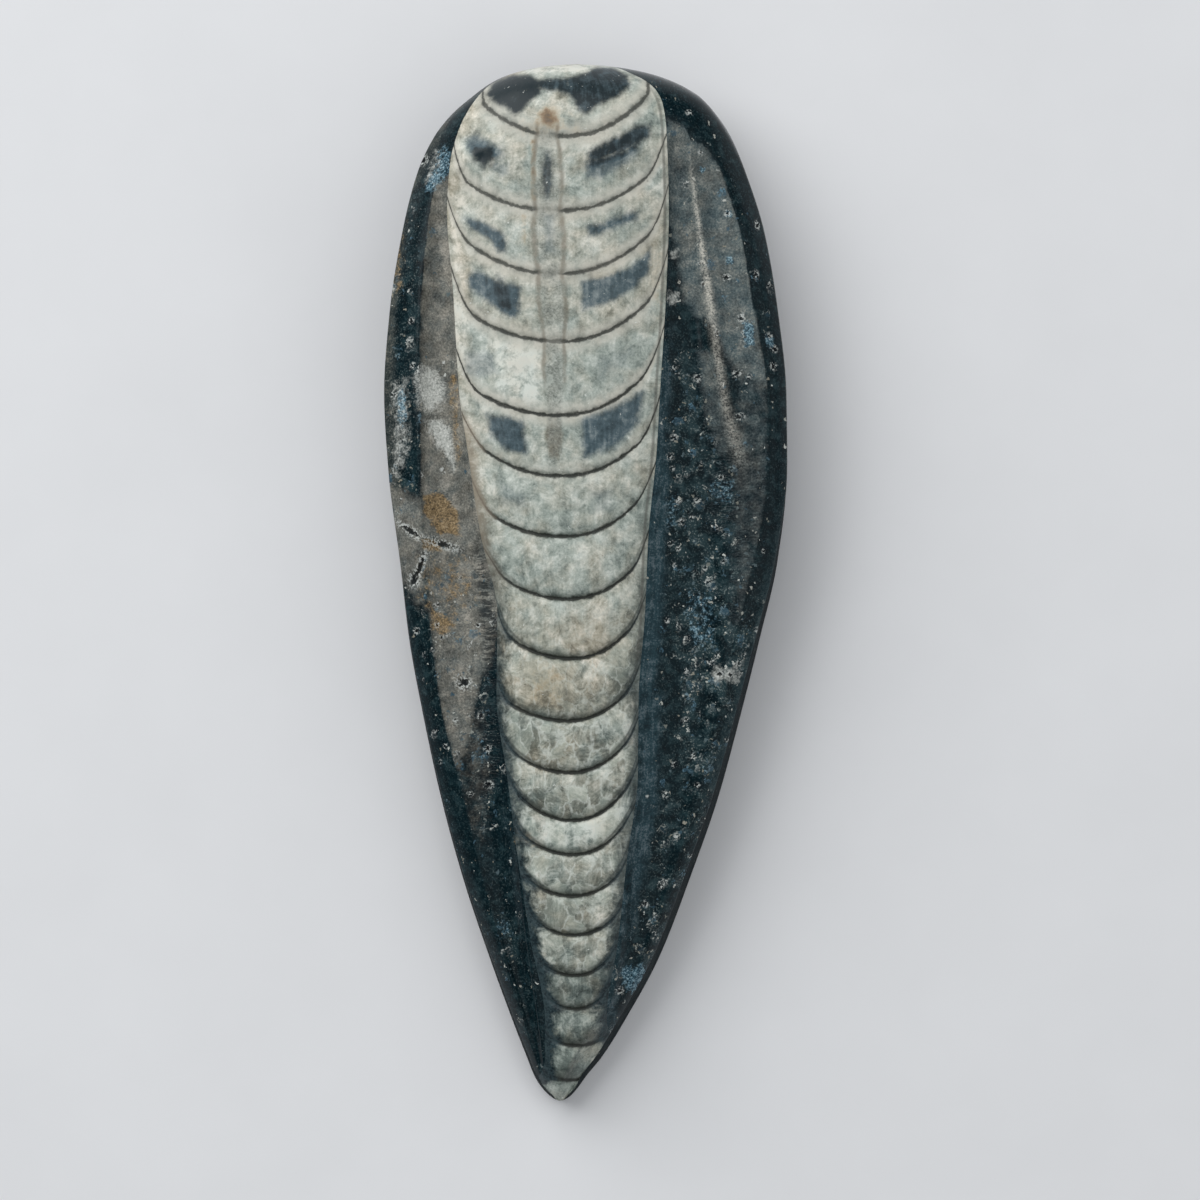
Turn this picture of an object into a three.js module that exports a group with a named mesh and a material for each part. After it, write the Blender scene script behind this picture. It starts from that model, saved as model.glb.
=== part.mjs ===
// An orthoceras: the straight, chambered shell of an extinct cephalopod, turned to pale calcite and
// standing proud of the piece of black limestone that it is bedded in. The shell and its limestone
// are one stone, so the part is one mesh.
//
// Millimetres. The stone lies on its sawn back: +X to the right, +Y towards the blunt end, +Z up out
// of the polished face. The origin is in the middle of the stone's box, on the back.
import * as THREE from "three";

const LENGTH = 118.4;
const HALF_LENGTH = LENGTH / 2;

const BACK_CHAMFER = 0.8; // narrow bevel all round the sawn back
const GROOVE_DEPTH = 0.35; // how far each septum is sunk in the shell
const CHAMBER_BULGE = 0.22; // how far each chamber stands up between its septa
const SEPTUM_CURVE = 2.2; // power of the curve in which a septum rises towards the shell's edges
const SHELL_CROWN = 2.4; // power of the shell's cross-section: 2 is a parabola, more has squarer shoulders
const FACE_DROP = 1.0; // uncut limestone lies this far below the top of the shell
const FLUTE_LIFT = 1.0; // how far a ground flute rises at the width given for it
const MOST_INSET = 0.2; // no lean or chamfer takes more than this share of the stone's width
const LEAST_INSET = 0.15;
const SIDE_CROWN = 0.35; // share by which the side bevels bow outwards
const CREST_ROUND = 0.25; // rounding where two ground surfaces meet
const END_FROM = 46; // the side bevels start to turn into the blunt end's round-over here
const END_TO = 56;

// Every list below runs from the pointed tip to the blunt end, as [place along Y, value].

// The outline as seen from above: X of the left and of the right edge.
const LEFT_OUTLINE = [
  [-59.2, -2.9], [-58.8, -3.9], [-56.5, -5.8], [-54.3, -6.7], [-49.7, -8.5], [-42.9, -11.0],
  [-33.7, -14.1], [-24.6, -16.6], [-15.5, -18.6], [-6.4, -20.3], [2.7, -21.4], [11.9, -22.6],
  [21.0, -23.1], [30.1, -22.5], [39.2, -21.1], [46.1, -19.4], [50.6, -17.4], [52.9, -15.7],
  [55.2, -13.2], [57.5, -9.9], [59.2, -1.2],
];
const RIGHT_OUTLINE = [
  [-59.2, -2.9], [-58.8, -1.9], [-56.5, 0.0], [-54.3, 1.8], [-49.7, 4.7], [-42.9, 8.4],
  [-33.7, 12.0], [-24.6, 15.2], [-15.5, 17.7], [-6.4, 20.0], [2.7, 22.1], [11.9, 23.1],
  [21.0, 23.0], [30.1, 22.1], [39.2, 20.6], [46.1, 18.5], [50.6, 16.7], [52.9, 15.3],
  [55.2, 13.3], [57.5, 9.2], [59.2, -1.2],
];

// X of the shell's two edges in the polished face.
const SHELL_LEFT = [
  [-59.2, -6.6], [-57.0, -5.6], [-54.3, -4.6], [-49.7, -4.6], [-40.6, -6.2], [-31.5, -7.6],
  [-22.3, -8.8], [-13.2, -10.0], [-4.1, -9.9], [5.0, -11.8], [14.1, -13.2], [21.0, -14.2],
  [32.4, -14.9], [41.5, -15.6], [47.0, -15.2], [50.6, -14.3], [53.0, -13.2], [54.6, -12.2],
  [56.2, -10.8], [57.4, -8.8], [59.2, -6.0],
];
const SHELL_RIGHT = [
  [-59.2, 3.5], [-53.0, 3.2], [-49.7, 2.4], [-40.6, 3.7], [-31.5, 4.7], [-22.3, 5.9],
  [-13.2, 6.0], [-4.1, 6.7], [5.0, 7.1], [14.1, 8.0], [21.0, 8.4], [32.4, 9.1],
  [41.5, 9.4], [50.6, 9.1], [53.4, 8.7], [55.0, 8.0], [56.2, 6.9], [57.4, 5.0],
  [59.2, 2.0],
];

// The septa, the walls between the shell's chambers: the lowest point of each on its middle line.
const SEPTA = [
  -56.9, -52.9, -48.7, -44.9, -40.3, -35.9, -31.2, -27.4, -22.0, -16.2,
  -9.2, -2.5, 4.5, 11.3, 18.1, 26.4, 34.0, 41.1, 49.7,
];
// How far a septum curves up from its lowest point to the shell's left and right edges.
const SAG_LEFT = [
  [-59.2, 0.0], [-56.7, 0.7], [-52.8, 1.3], [-44.6, 2.1], [-35.5, 2.8], [-26.9, 3.6],
  [-15.5, 3.2], [0.0, 3.8], [12.4, 4.7], [35.3, 5.5], [49.7, 4.8], [59.2, 0.0],
];
const SAG_RIGHT = [
  [-59.2, 0.0], [-56.7, 0.5], [-52.8, 1.1], [-44.6, 2.8], [-35.5, 3.5], [-26.9, 5.1],
  [-15.5, 4.9], [0.0, 5.5], [12.4, 6.2], [27.6, 7.0], [42.5, 6.5], [49.7, 5.8], [59.2, 0.0],
];

// Heights above the back: the top of the shell, and the upper edge of the side wall.
const SHELL_TOP = [
  [-59.2, 5.0], [-56.0, 6.6], [-50.0, 8.8], [-40.0, 11.0], [-20.0, 13.6], [0.0, 15.2],
  [20.0, 16.4], [38.0, 17.0], [50.0, 16.7], [59.2, 15.8],
];
const WALL_TOP = [
  [-59.2, 3.6], [-50.0, 5.6], [-35.0, 7.6], [-15.0, 9.6], [5.0, 11.2], [25.0, 11.9],
  [45.0, 11.4], [59.2, 8.5],
];
// The side wall leans in by this much from its foot to its upper edge.
const WALL_LEAN_LEFT = [[-59.2, 0.4], [-20.0, 0.4], [59.2, 0.3]];
const WALL_LEAN_RIGHT = [[-59.2, 0.5], [-50.0, 0.8], [-20.0, 0.8], [0.0, 0.6], [15.0, 0.3], [59.2, 0.3]];

// The polished bevel inside the edge: its height above the wall, and its width.
const BEVEL_RISE_LEFT = [
  [-59.2, 1.2], [-50.0, 1.5], [-35.0, 1.8], [-15.0, 2.0], [5.0, 2.5], [25.0, 2.7],
  [44.0, 3.2], [52.0, 6.0], [59.2, 7.6],
];
const BEVEL_RISE_RIGHT = [
  [-59.2, 1.2], [-50.0, 1.4], [-35.0, 1.7], [-15.0, 2.2], [5.0, 2.3], [25.0, 2.2],
  [44.0, 3.0], [52.0, 6.0], [59.2, 7.6],
];
const BEVEL_WIDTH_LEFT = [
  [-59.2, 0.9], [-43.0, 1.3], [-34.0, 1.9], [-25.0, 2.3], [-15.0, 2.2], [-6.0, 2.8],
  [5.0, 3.6], [21.0, 4.7], [36.0, 3.4], [44.0, 3.4], [52.0, 6.5], [59.2, 8.5],
];
const BEVEL_WIDTH_RIGHT = [
  [-59.2, 0.9], [-43.0, 1.2], [-34.0, 1.6], [-25.0, 2.1], [-15.0, 2.8], [3.0, 3.0],
  [21.0, 2.4], [39.0, 2.5], [44.0, 3.0], [52.0, 6.5], [59.2, 8.5],
];

// The flutes, hollows ground along the shell. Each has the X of its floor, its half width, and how
// far its floor lies below the top of the shell.
const FLUTES = [
  {
    // left of the shell
    middle: [
      [-59.2, -4.5], [-50.0, -6.3], [-43.0, -8.0], [-34.0, -10.0], [-25.0, -11.5], [-15.5, -13.2],
      [-6.0, -13.8], [5.0, -15.2], [12.0, -15.9], [30.0, -16.5], [46.0, -16.4], [59.2, -14.0],
    ],
    width: [
      [-59.2, 0.6], [-50.0, 1.0], [-43.0, 1.4], [-34.0, 2.0], [-25.0, 2.6], [-15.5, 3.3],
      [-6.0, 3.5], [5.0, 2.8], [12.0, 2.2], [30.0, 1.9], [46.0, 1.3], [59.2, 1.2],
    ],
    drop: [
      [-59.2, 0.6], [-55.0, 1.5], [-43.0, 2.5], [-25.0, 3.1], [0.0, 3.5], [21.0, 3.6],
      [40.0, 3.4], [47.0, 2.4], [52.0, 0.0],
    ],
  },
  {
    // close along the right of the shell
    middle: [
      [-59.2, 2.5], [-45.0, 5.3], [-36.0, 7.9], [-24.6, 10.2], [-13.2, 11.9], [-1.8, 12.5],
      [9.6, 13.1], [21.0, 12.4], [32.4, 11.5], [44.0, 10.9], [59.2, 10.5],
    ],
    width: [
      [-59.2, 0.8], [-45.0, 1.5], [-36.0, 2.5], [-24.6, 4.0], [-13.2, 5.0], [9.6, 5.0],
      [21.0, 2.7], [32.4, 2.2], [44.0, 1.6], [59.2, 1.5],
    ],
    drop: [
      [-59.2, 0.6], [-55.0, 1.3], [-45.0, 2.5], [-25.0, 3.2], [0.0, 3.6], [32.0, 3.6],
      [44.0, 2.9], [50.0, 1.6], [56.0, 0.0],
    ],
  },
  {
    // the wide one outside it, which dies out towards the pointed half
    middle: [
      [-20.0, 14.5], [0.0, 18.0], [12.0, 18.8], [21.0, 18.4], [32.0, 16.3], [45.0, 14.2],
      [59.2, 12.0],
    ],
    width: [[-20.0, 3.0], [0.0, 2.6], [21.0, 3.6], [32.0, 3.2], [45.0, 2.3], [59.2, 2.0]],
    drop: [[-20.0, 1.6], [0.0, 2.4], [12.0, 2.8], [21.0, 2.9], [45.0, 3.1], [53.0, 0.0]],
  },
];

// Columns of the mesh from edge to edge, by the stretch of the face that they cross.
const COLUMNS = { leftBevel: 4, leftFlute: 5, shell: 16, rightFlute: 8, rightBevel: 4 };
const LEAST_STRETCH = 0.03; // no stretch is narrower than this share of its row
const MOST_BEVEL = 0.65; // the bevel's columns take up to this share of the way to the shell
const CHAMBER_ROWS = [0, 0.18, 0.5, 0.82]; // rows of the mesh in each chamber
const TIP_ROWS = 4;
const HEAD_ROWS = 12;

// A smooth curve through hand-placed stations that never swings past them.
function smoothCurve(stations) {
  const at = stations.map((station) => station[0]);
  const value = stations.map((station) => station[1]);
  const last = at.length - 1;
  const slope = [];
  for (let i = 0; i < last; i++) {
    slope.push((value[i + 1] - value[i]) / (at[i + 1] - at[i]));
  }
  const tangent = at.map((_, i) => {
    if (i === 0) return slope[0];
    if (i === last) return slope[last - 1];
    const before = slope[i - 1];
    const after = slope[i];
    return before * after <= 0 ? 0 : (2 * before * after) / (before + after);
  });
  return (place) => {
    const clamped = THREE.MathUtils.clamp(place, at[0], at[last]);
    let i = 0;
    while (i < last - 1 && clamped > at[i + 1]) i++;
    const span = at[i + 1] - at[i];
    const t = (clamped - at[i]) / span;
    const turn = t * t * (3 - 2 * t);
    const leave = t * (1 - t) * (1 - t) * span * tangent[i];
    const arrive = t * t * (t - 1) * span * tangent[i + 1];
    return value[i] * (1 - turn) + value[i + 1] * turn + leave + arrive;
  };
}

// Places along the stone are turned to an angle that makes both rounded ends smooth.
const angleAt = (y) => Math.acos(THREE.MathUtils.clamp(-y / HALF_LENGTH, -1, 1));
const outlineCurve = (stations) => smoothCurve(stations.map(([y, x]) => [angleAt(y), x]));

const outline = { left: outlineCurve(LEFT_OUTLINE), right: outlineCurve(RIGHT_OUTLINE) };
const wallLean = { left: smoothCurve(WALL_LEAN_LEFT), right: smoothCurve(WALL_LEAN_RIGHT) };
const bevelRise = { left: smoothCurve(BEVEL_RISE_LEFT), right: smoothCurve(BEVEL_RISE_RIGHT) };
const bevelWidth = { left: smoothCurve(BEVEL_WIDTH_LEFT), right: smoothCurve(BEVEL_WIDTH_RIGHT) };
const shellEdge = { left: smoothCurve(SHELL_LEFT), right: smoothCurve(SHELL_RIGHT) };
const sag = { left: smoothCurve(SAG_LEFT), right: smoothCurve(SAG_RIGHT) };
const shellTop = smoothCurve(SHELL_TOP);
const wallTop = smoothCurve(WALL_TOP);
const flutes = FLUTES.map((flute) => ({
  middle: smoothCurve(flute.middle),
  width: smoothCurve(flute.width),
  drop: smoothCurve(flute.drop),
}));

// The lower of two heights, rounded where they cross.
function blendedLower(a, b, round) {
  const near = Math.max(round - Math.abs(a - b), 0) / round;
  return Math.min(a, b) - (near * near * round) / 4;
}

// A point of the outline, and the direction into the stone there.
function outlinePoint(y, side) {
  const angle = angleAt(y);
  const step = 0.01;
  const before = Math.max(angle - step, 0);
  const after = Math.min(angle + step, Math.PI);
  const alongX = outline[side](after) - outline[side](before);
  const alongY = HALF_LENGTH * (Math.cos(before) - Math.cos(after));
  const length = Math.hypot(alongX, alongY);
  const turn = side === "left" ? 1 : -1;
  return {
    point: new THREE.Vector2(outline[side](angle), y),
    inward: new THREE.Vector2((turn * alongY) / length, (-turn * alongX) / length),
  };
}

// The rows of the mesh, from the tip to the blunt end. Each row bows as the septa do.
function meshRows() {
  const rows = [];
  const firstSeptum = SEPTA[0];
  const lastSeptum = SEPTA[SEPTA.length - 1];
  for (let i = 1; i <= TIP_ROWS; i++) {
    const share = (i / (TIP_ROWS + 1)) ** 2;
    rows.push({ base: -HALF_LENGTH + share * (firstSeptum + HALF_LENGTH), relief: 0 });
  }
  for (let i = 0; i < SEPTA.length - 1; i++) {
    for (const share of CHAMBER_ROWS) {
      const relief = share === 0 ? -GROOVE_DEPTH : CHAMBER_BULGE * Math.sin(Math.PI * share);
      rows.push({ base: SEPTA[i] + share * (SEPTA[i + 1] - SEPTA[i]), relief });
    }
  }
  for (let i = 0; i < HEAD_ROWS; i++) {
    const share = 1 - (1 - i / HEAD_ROWS) ** 2;
    const relief = i === 0 ? -GROOVE_DEPTH : 0;
    rows.push({ base: lastSeptum + share * (HALF_LENGTH - lastSeptum), relief });
  }
  for (const row of rows) {
    for (const side of ["left", "right"]) {
      row[side] = outlinePoint(row.base + sag[side](row.base), side);
    }
  }
  return rows;
}

const rows = meshRows();
const tip = { point: new THREE.Vector2(LEFT_OUTLINE[0][1], -HALF_LENGTH), inward: new THREE.Vector2(0, 1) };
const head = {
  point: new THREE.Vector2(LEFT_OUTLINE[LEFT_OUTLINE.length - 1][1], HALF_LENGTH),
  inward: new THREE.Vector2(0, -1),
};

// The whole edge in order: tip, left side, blunt end, right side.
const rim = [
  { ...tip, side: "left" },
  ...rows.map((row) => ({ ...row.left, side: "left" })),
  { ...head, side: "left" },
  ...[...rows].reverse().map((row) => ({ ...row.right, side: "right" })),
];
for (const place of rim) {
  const { y } = place.point;
  const most = Math.max(MOST_INSET * (outline.right(angleAt(y)) - outline.left(angleAt(y))), LEAST_INSET);
  const lean = Math.min(wallLean[place.side](y), most);
  place.upper = place.point.clone().addScaledVector(place.inward, lean);
  place.under = place.point.clone().addScaledVector(place.inward, Math.min(BACK_CHAMFER, most));
}

// Distance from a point of the face to the upper edge of the side wall.
function distanceToRim(x, y) {
  let nearest = Infinity;
  for (let i = 0; i < rim.length; i++) {
    const a = rim[i].upper;
    const b = rim[(i + 1) % rim.length].upper;
    const spanX = b.x - a.x;
    const spanY = b.y - a.y;
    const along = ((x - a.x) * spanX + (y - a.y) * spanY) / (spanX * spanX + spanY * spanY);
    const t = THREE.MathUtils.clamp(along, 0, 1);
    nearest = Math.min(nearest, Math.hypot(x - a.x - t * spanX, y - a.y - t * spanY));
  }
  return nearest;
}

// Height of the bevel that runs round the face, at a distance in from the rim.
function bevelHeight(x, y, gap) {
  const side = x < (shellEdge.left(y) + shellEdge.right(y)) / 2 ? "left" : "right";
  const share = gap / bevelWidth[side](y);
  const inside = Math.min(share, 1);
  const straight = share + SIDE_CROWN * inside * (1 - inside);
  const round = Math.sqrt(1 - (1 - inside) ** 2);
  const atEnd = THREE.MathUtils.smoothstep(y, END_FROM, END_TO);
  return wallTop(y) + bevelRise[side](y) * THREE.MathUtils.lerp(straight, round, atEnd);
}

// Height of the ground limestone, without its bevels.
function limestoneHeight(x, y) {
  const top = shellTop(y);
  let height = top - FACE_DROP;
  for (const flute of flutes) {
    const offset = (x - flute.middle(y)) / flute.width(y);
    const hollow = top - flute.drop(y) + FLUTE_LIFT * offset * offset;
    height = blendedLower(height, hollow, CREST_ROUND);
  }
  return height;
}

// Height of the finished face. Relief raises or sinks it where the shell is.
function faceHeight(x, y, relief) {
  const left = shellEdge.left(y);
  const right = shellEdge.right(y);
  const across = (2 * x - left - right) / (right - left);
  let height;
  if (Math.abs(across) >= 1) {
    height = limestoneHeight(x, y);
  } else {
    const leftFoot = limestoneHeight(left, y);
    const rightFoot = limestoneHeight(right, y);
    const foot = THREE.MathUtils.lerp(leftFoot, rightFoot, (across + 1) / 2);
    const dome = 1 - Math.abs(across) ** SHELL_CROWN;
    height = foot + (shellTop(y) - foot) * dome + relief * (1 - across ** 4);
  }
  return blendedLower(height, bevelHeight(x, y, distanceToRim(x, y)), CREST_ROUND);
}

// X of each column of one row, with the columns crowded to follow the shell and the bevels.
function columnPlaces(row) {
  const left = row.left.upper;
  const right = row.right.upper;
  const width = right.x - left.x;
  const gap = LEAST_STRETCH * width;
  const y = (left.y + right.y) / 2;
  const stops = [
    left.x,
    Math.min(left.x + bevelWidth.left(y), THREE.MathUtils.lerp(left.x, shellEdge.left(y), MOST_BEVEL)),
    shellEdge.left(y),
    shellEdge.right(y),
    Math.max(right.x - bevelWidth.right(y), THREE.MathUtils.lerp(right.x, shellEdge.right(y), MOST_BEVEL)),
    right.x,
  ];
  for (let i = 1; i < stops.length - 1; i++) {
    const least = stops[i - 1] + gap;
    const most = right.x - gap * (stops.length - 1 - i);
    stops[i] = THREE.MathUtils.clamp(stops[i], least, most);
  }
  const counts = Object.values(COLUMNS);
  const places = [left.x];
  counts.forEach((count, stretch) => {
    for (let i = 1; i <= count; i++) {
      places.push(THREE.MathUtils.lerp(stops[stretch], stops[stretch + 1], i / count));
    }
  });
  return places;
}

function fossilStone() {
  const positions = [];
  const faces = [];
  const addPoint = (x, y, z) => positions.push(x, y, z) / 3 - 1;
  const columns = Object.values(COLUMNS).reduce((sum, count) => sum + count, 0);

  for (let i = 0; i < rows.length; i++) {
    rows[i].left.upper = rim[i + 1].upper;
    rows[i].right.upper = rim[rim.length - 1 - i].upper;
  }

  // The polished face, row by row, between one point at the tip and one at the blunt end.
  const tipTop = addPoint(rim[0].upper.x, rim[0].upper.y, wallTop(-HALF_LENGTH));
  const faceRows = rows.map((row) => {
    const left = row.left.upper;
    const right = row.right.upper;
    const shellLeft = shellEdge.left(row.base);
    const shellRight = shellEdge.right(row.base);
    const middle = THREE.MathUtils.clamp((shellLeft + shellRight) / 2, left.x, right.x);
    const inset = (row.left.point.y - left.y + row.right.point.y - right.y) / 2;
    return columnPlaces(row).map((x, column) => {
      const onLeft = x < middle;
      const end = onLeft ? left : right;
      const reach = onLeft ? Math.max(shellLeft, left.x) : Math.min(shellRight, right.x);
      const across = Math.min(Math.abs((x - middle) / (reach - middle)), 1);
      const atRim = column === 0 || column === columns;
      const y = atRim ? end.y : THREE.MathUtils.lerp(row.base - inset, end.y, across ** SEPTUM_CURVE);
      const z = atRim ? wallTop(y) : faceHeight(x, y, row.relief);
      return addPoint(x, y, z);
    });
  });
  const headRim = rim[rows.length + 1];
  const headTop = addPoint(headRim.upper.x, headRim.upper.y, wallTop(HALF_LENGTH));

  const firstRow = faceRows[0];
  const lastRow = faceRows[faceRows.length - 1];
  for (let c = 0; c < columns; c++) {
    faces.push(tipTop, firstRow[c + 1], firstRow[c]);
    faces.push(headTop, lastRow[c], lastRow[c + 1]);
    for (let r = 0; r < faceRows.length - 1; r++) {
      const near = faceRows[r];
      const far = faceRows[r + 1];
      faces.push(near[c], near[c + 1], far[c + 1]);
      faces.push(near[c], far[c + 1], far[c]);
    }
  }

  // The side wall and the chamfer below it, as rings that follow the rim.
  const upperRing = [
    tipTop,
    ...faceRows.map((row) => row[0]),
    headTop,
    ...[...faceRows].reverse().map((row) => row[columns]),
  ];
  const footRing = rim.map((place) => addPoint(place.point.x, place.point.y, BACK_CHAMFER));
  const backRing = rim.map((place) => addPoint(place.under.x, place.under.y, 0));
  for (const [high, low] of [[upperRing, footRing], [footRing, backRing]]) {
    for (let i = 0; i < rim.length; i++) {
      const next = (i + 1) % rim.length;
      faces.push(high[i], high[next], low[next]);
      faces.push(high[i], low[next], low[i]);
    }
  }

  // The flat sawn back, closed in strips from the left rim to the right.
  const count = rim.length;
  for (let i = 0; i < rows.length + 1; i++) {
    const leftNear = backRing[i];
    const leftFar = backRing[i + 1];
    const rightNear = backRing[(count - i) % count];
    const rightFar = backRing[count - i - 1];
    if (leftNear !== rightNear) faces.push(leftNear, leftFar, rightNear);
    if (leftFar !== rightFar) faces.push(rightNear, leftFar, rightFar);
  }

  const geometry = new THREE.BufferGeometry();
  geometry.setAttribute("position", new THREE.Float32BufferAttribute(positions, 3));
  geometry.setIndex(faces);
  geometry.computeVertexNormals();
  const stone = new THREE.MeshStandardMaterial({ color: 0x5b6464, roughness: 0.35, metalness: 0 });
  const mesh = new THREE.Mesh(geometry, stone);
  mesh.name = "fossil_stone";
  return mesh;
}

const fossil = new THREE.Group();
fossil.add(fossilStone());

export default fossil;
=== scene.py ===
import math
import random

import bpy
import numpy as np
from bpy.props import FloatProperty, FloatVectorProperty, PointerProperty
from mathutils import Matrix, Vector, noise


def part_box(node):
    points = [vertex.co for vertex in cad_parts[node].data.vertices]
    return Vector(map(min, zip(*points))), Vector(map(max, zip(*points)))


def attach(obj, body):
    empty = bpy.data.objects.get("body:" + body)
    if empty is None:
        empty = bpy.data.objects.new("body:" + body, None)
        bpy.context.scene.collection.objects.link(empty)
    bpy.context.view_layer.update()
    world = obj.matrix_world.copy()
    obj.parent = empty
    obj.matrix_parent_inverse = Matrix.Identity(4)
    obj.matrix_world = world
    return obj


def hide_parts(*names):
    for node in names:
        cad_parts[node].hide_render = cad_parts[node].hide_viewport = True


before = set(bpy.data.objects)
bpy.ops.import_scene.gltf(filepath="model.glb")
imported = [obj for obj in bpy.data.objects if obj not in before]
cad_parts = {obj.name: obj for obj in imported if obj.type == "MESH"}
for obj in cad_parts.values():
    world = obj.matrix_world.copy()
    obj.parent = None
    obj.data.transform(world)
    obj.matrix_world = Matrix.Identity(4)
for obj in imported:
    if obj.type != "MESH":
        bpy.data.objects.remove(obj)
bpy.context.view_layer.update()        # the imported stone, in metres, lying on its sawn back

bl_info = {
    "name": "Orthoceras fossil",
    "version": (1, 0, 0),
    "blender": (4, 5, 0),
    "location": "3D View > Sidebar > Fossil",
    "description": "Builds a polished orthoceras in black limestone, and a plain stage for it",
    "category": "Object",
}

STONE_NODE = "fossil_stone"
PIECE = "polished_fossil_stone"
STONE_LOW, STONE_HIGH = (np.array(corner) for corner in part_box(STONE_NODE))

# ---------------------------------------------------------------------------------------------
# The form of the stone. Lists run from the pointed tip to the blunt end as (place along Y, value),
# in units of which the stone is LENGTH long: millimetres, at the size that it is modelled.
# ---------------------------------------------------------------------------------------------

LENGTH = 118.4
HALF_LENGTH = LENGTH / 2
UNIT = (STONE_HIGH[1] - STONE_LOW[1]) / LENGTH  # metres in one unit

LEFT_OUTLINE = [
    (-59.2, -2.9), (-58.8, -3.9), (-56.5, -5.8), (-54.3, -6.7), (-49.7, -8.5), (-42.9, -11.0),
    (-33.7, -14.1), (-24.6, -16.6), (-15.5, -18.6), (-6.4, -20.3), (2.7, -21.4), (11.9, -22.6),
    (21.0, -23.1), (30.1, -22.5), (39.2, -21.1), (46.1, -19.4), (50.6, -17.4), (52.9, -15.7),
    (55.2, -13.2), (57.5, -9.9), (59.2, -1.2),
]
RIGHT_OUTLINE = [
    (-59.2, -2.9), (-58.8, -1.9), (-56.5, 0.0), (-54.3, 1.8), (-49.7, 4.7), (-42.9, 8.4),
    (-33.7, 12.0), (-24.6, 15.2), (-15.5, 17.7), (-6.4, 20.0), (2.7, 22.1), (11.9, 23.1),
    (21.0, 23.0), (30.1, 22.1), (39.2, 20.6), (46.1, 18.5), (50.6, 16.7), (52.9, 15.3),
    (55.2, 13.3), (57.5, 9.2), (59.2, -1.2),
]
SHELL_LEFT = [
    (-59.2, -6.6), (-57.0, -5.6), (-54.3, -4.6), (-49.7, -4.6), (-40.6, -6.2), (-31.5, -7.6),
    (-22.3, -8.8), (-13.2, -10.0), (-4.1, -9.9), (5.0, -11.8), (14.1, -13.2), (21.0, -14.2),
    (32.4, -14.9), (41.5, -15.6), (47.0, -15.2), (50.6, -14.3), (53.0, -13.2), (54.6, -12.2),
    (56.2, -10.8), (57.4, -8.8), (59.2, -6.0),
]
SHELL_RIGHT = [
    (-59.2, 3.5), (-53.0, 3.2), (-49.7, 2.4), (-40.6, 3.7), (-31.5, 4.7), (-22.3, 5.9),
    (-13.2, 6.0), (-4.1, 6.7), (5.0, 7.1), (14.1, 8.0), (21.0, 8.4), (32.4, 9.1),
    (41.5, 9.4), (50.6, 9.1), (53.4, 8.7), (55.0, 8.0), (56.2, 6.9), (57.4, 5.0),
    (59.2, 2.0),
]
SHELL_TOP = [
    (-59.2, 5.0), (-56.0, 6.6), (-50.0, 8.8), (-40.0, 11.0), (-20.0, 13.6), (0.0, 15.2),
    (20.0, 16.4), (38.0, 17.0), (50.0, 16.7), (59.2, 15.8),
]
WALL_TOP = [
    (-59.2, 3.6), (-50.0, 5.6), (-35.0, 7.6), (-15.0, 9.6), (5.0, 11.2), (25.0, 11.9),
    (45.0, 11.4), (59.2, 8.5),
]
WALL_LEAN = {
    "left": [(-59.2, 0.4), (-20.0, 0.4), (59.2, 0.3)],
    "right": [(-59.2, 0.5), (-50.0, 0.8), (-20.0, 0.8), (0.0, 0.6), (15.0, 0.3), (59.2, 0.3)],
}
BEVEL_RISE = {
    "left": [
        (-59.2, 1.2), (-50.0, 1.5), (-35.0, 1.8), (-15.0, 2.0), (5.0, 2.5), (25.0, 2.7),
        (44.0, 3.2), (52.0, 6.0), (59.2, 7.6),
    ],
    "right": [
        (-59.2, 1.2), (-50.0, 1.4), (-35.0, 1.7), (-15.0, 2.2), (5.0, 2.3), (25.0, 2.2),
        (44.0, 3.0), (52.0, 6.0), (59.2, 7.6),
    ],
}
BEVEL_WIDTH = {
    "left": [
        (-59.2, 0.9), (-43.0, 1.3), (-34.0, 1.9), (-25.0, 2.3), (-15.0, 2.2), (-6.0, 2.8),
        (5.0, 3.6), (21.0, 4.7), (36.0, 3.4), (44.0, 3.4), (52.0, 6.5), (59.2, 8.5),
    ],
    "right": [
        (-59.2, 0.9), (-43.0, 1.2), (-34.0, 1.6), (-25.0, 2.1), (-15.0, 2.8), (3.0, 3.0),
        (21.0, 2.4), (39.0, 2.5), (44.0, 3.0), (52.0, 6.5), (59.2, 8.5),
    ],
}
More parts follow.
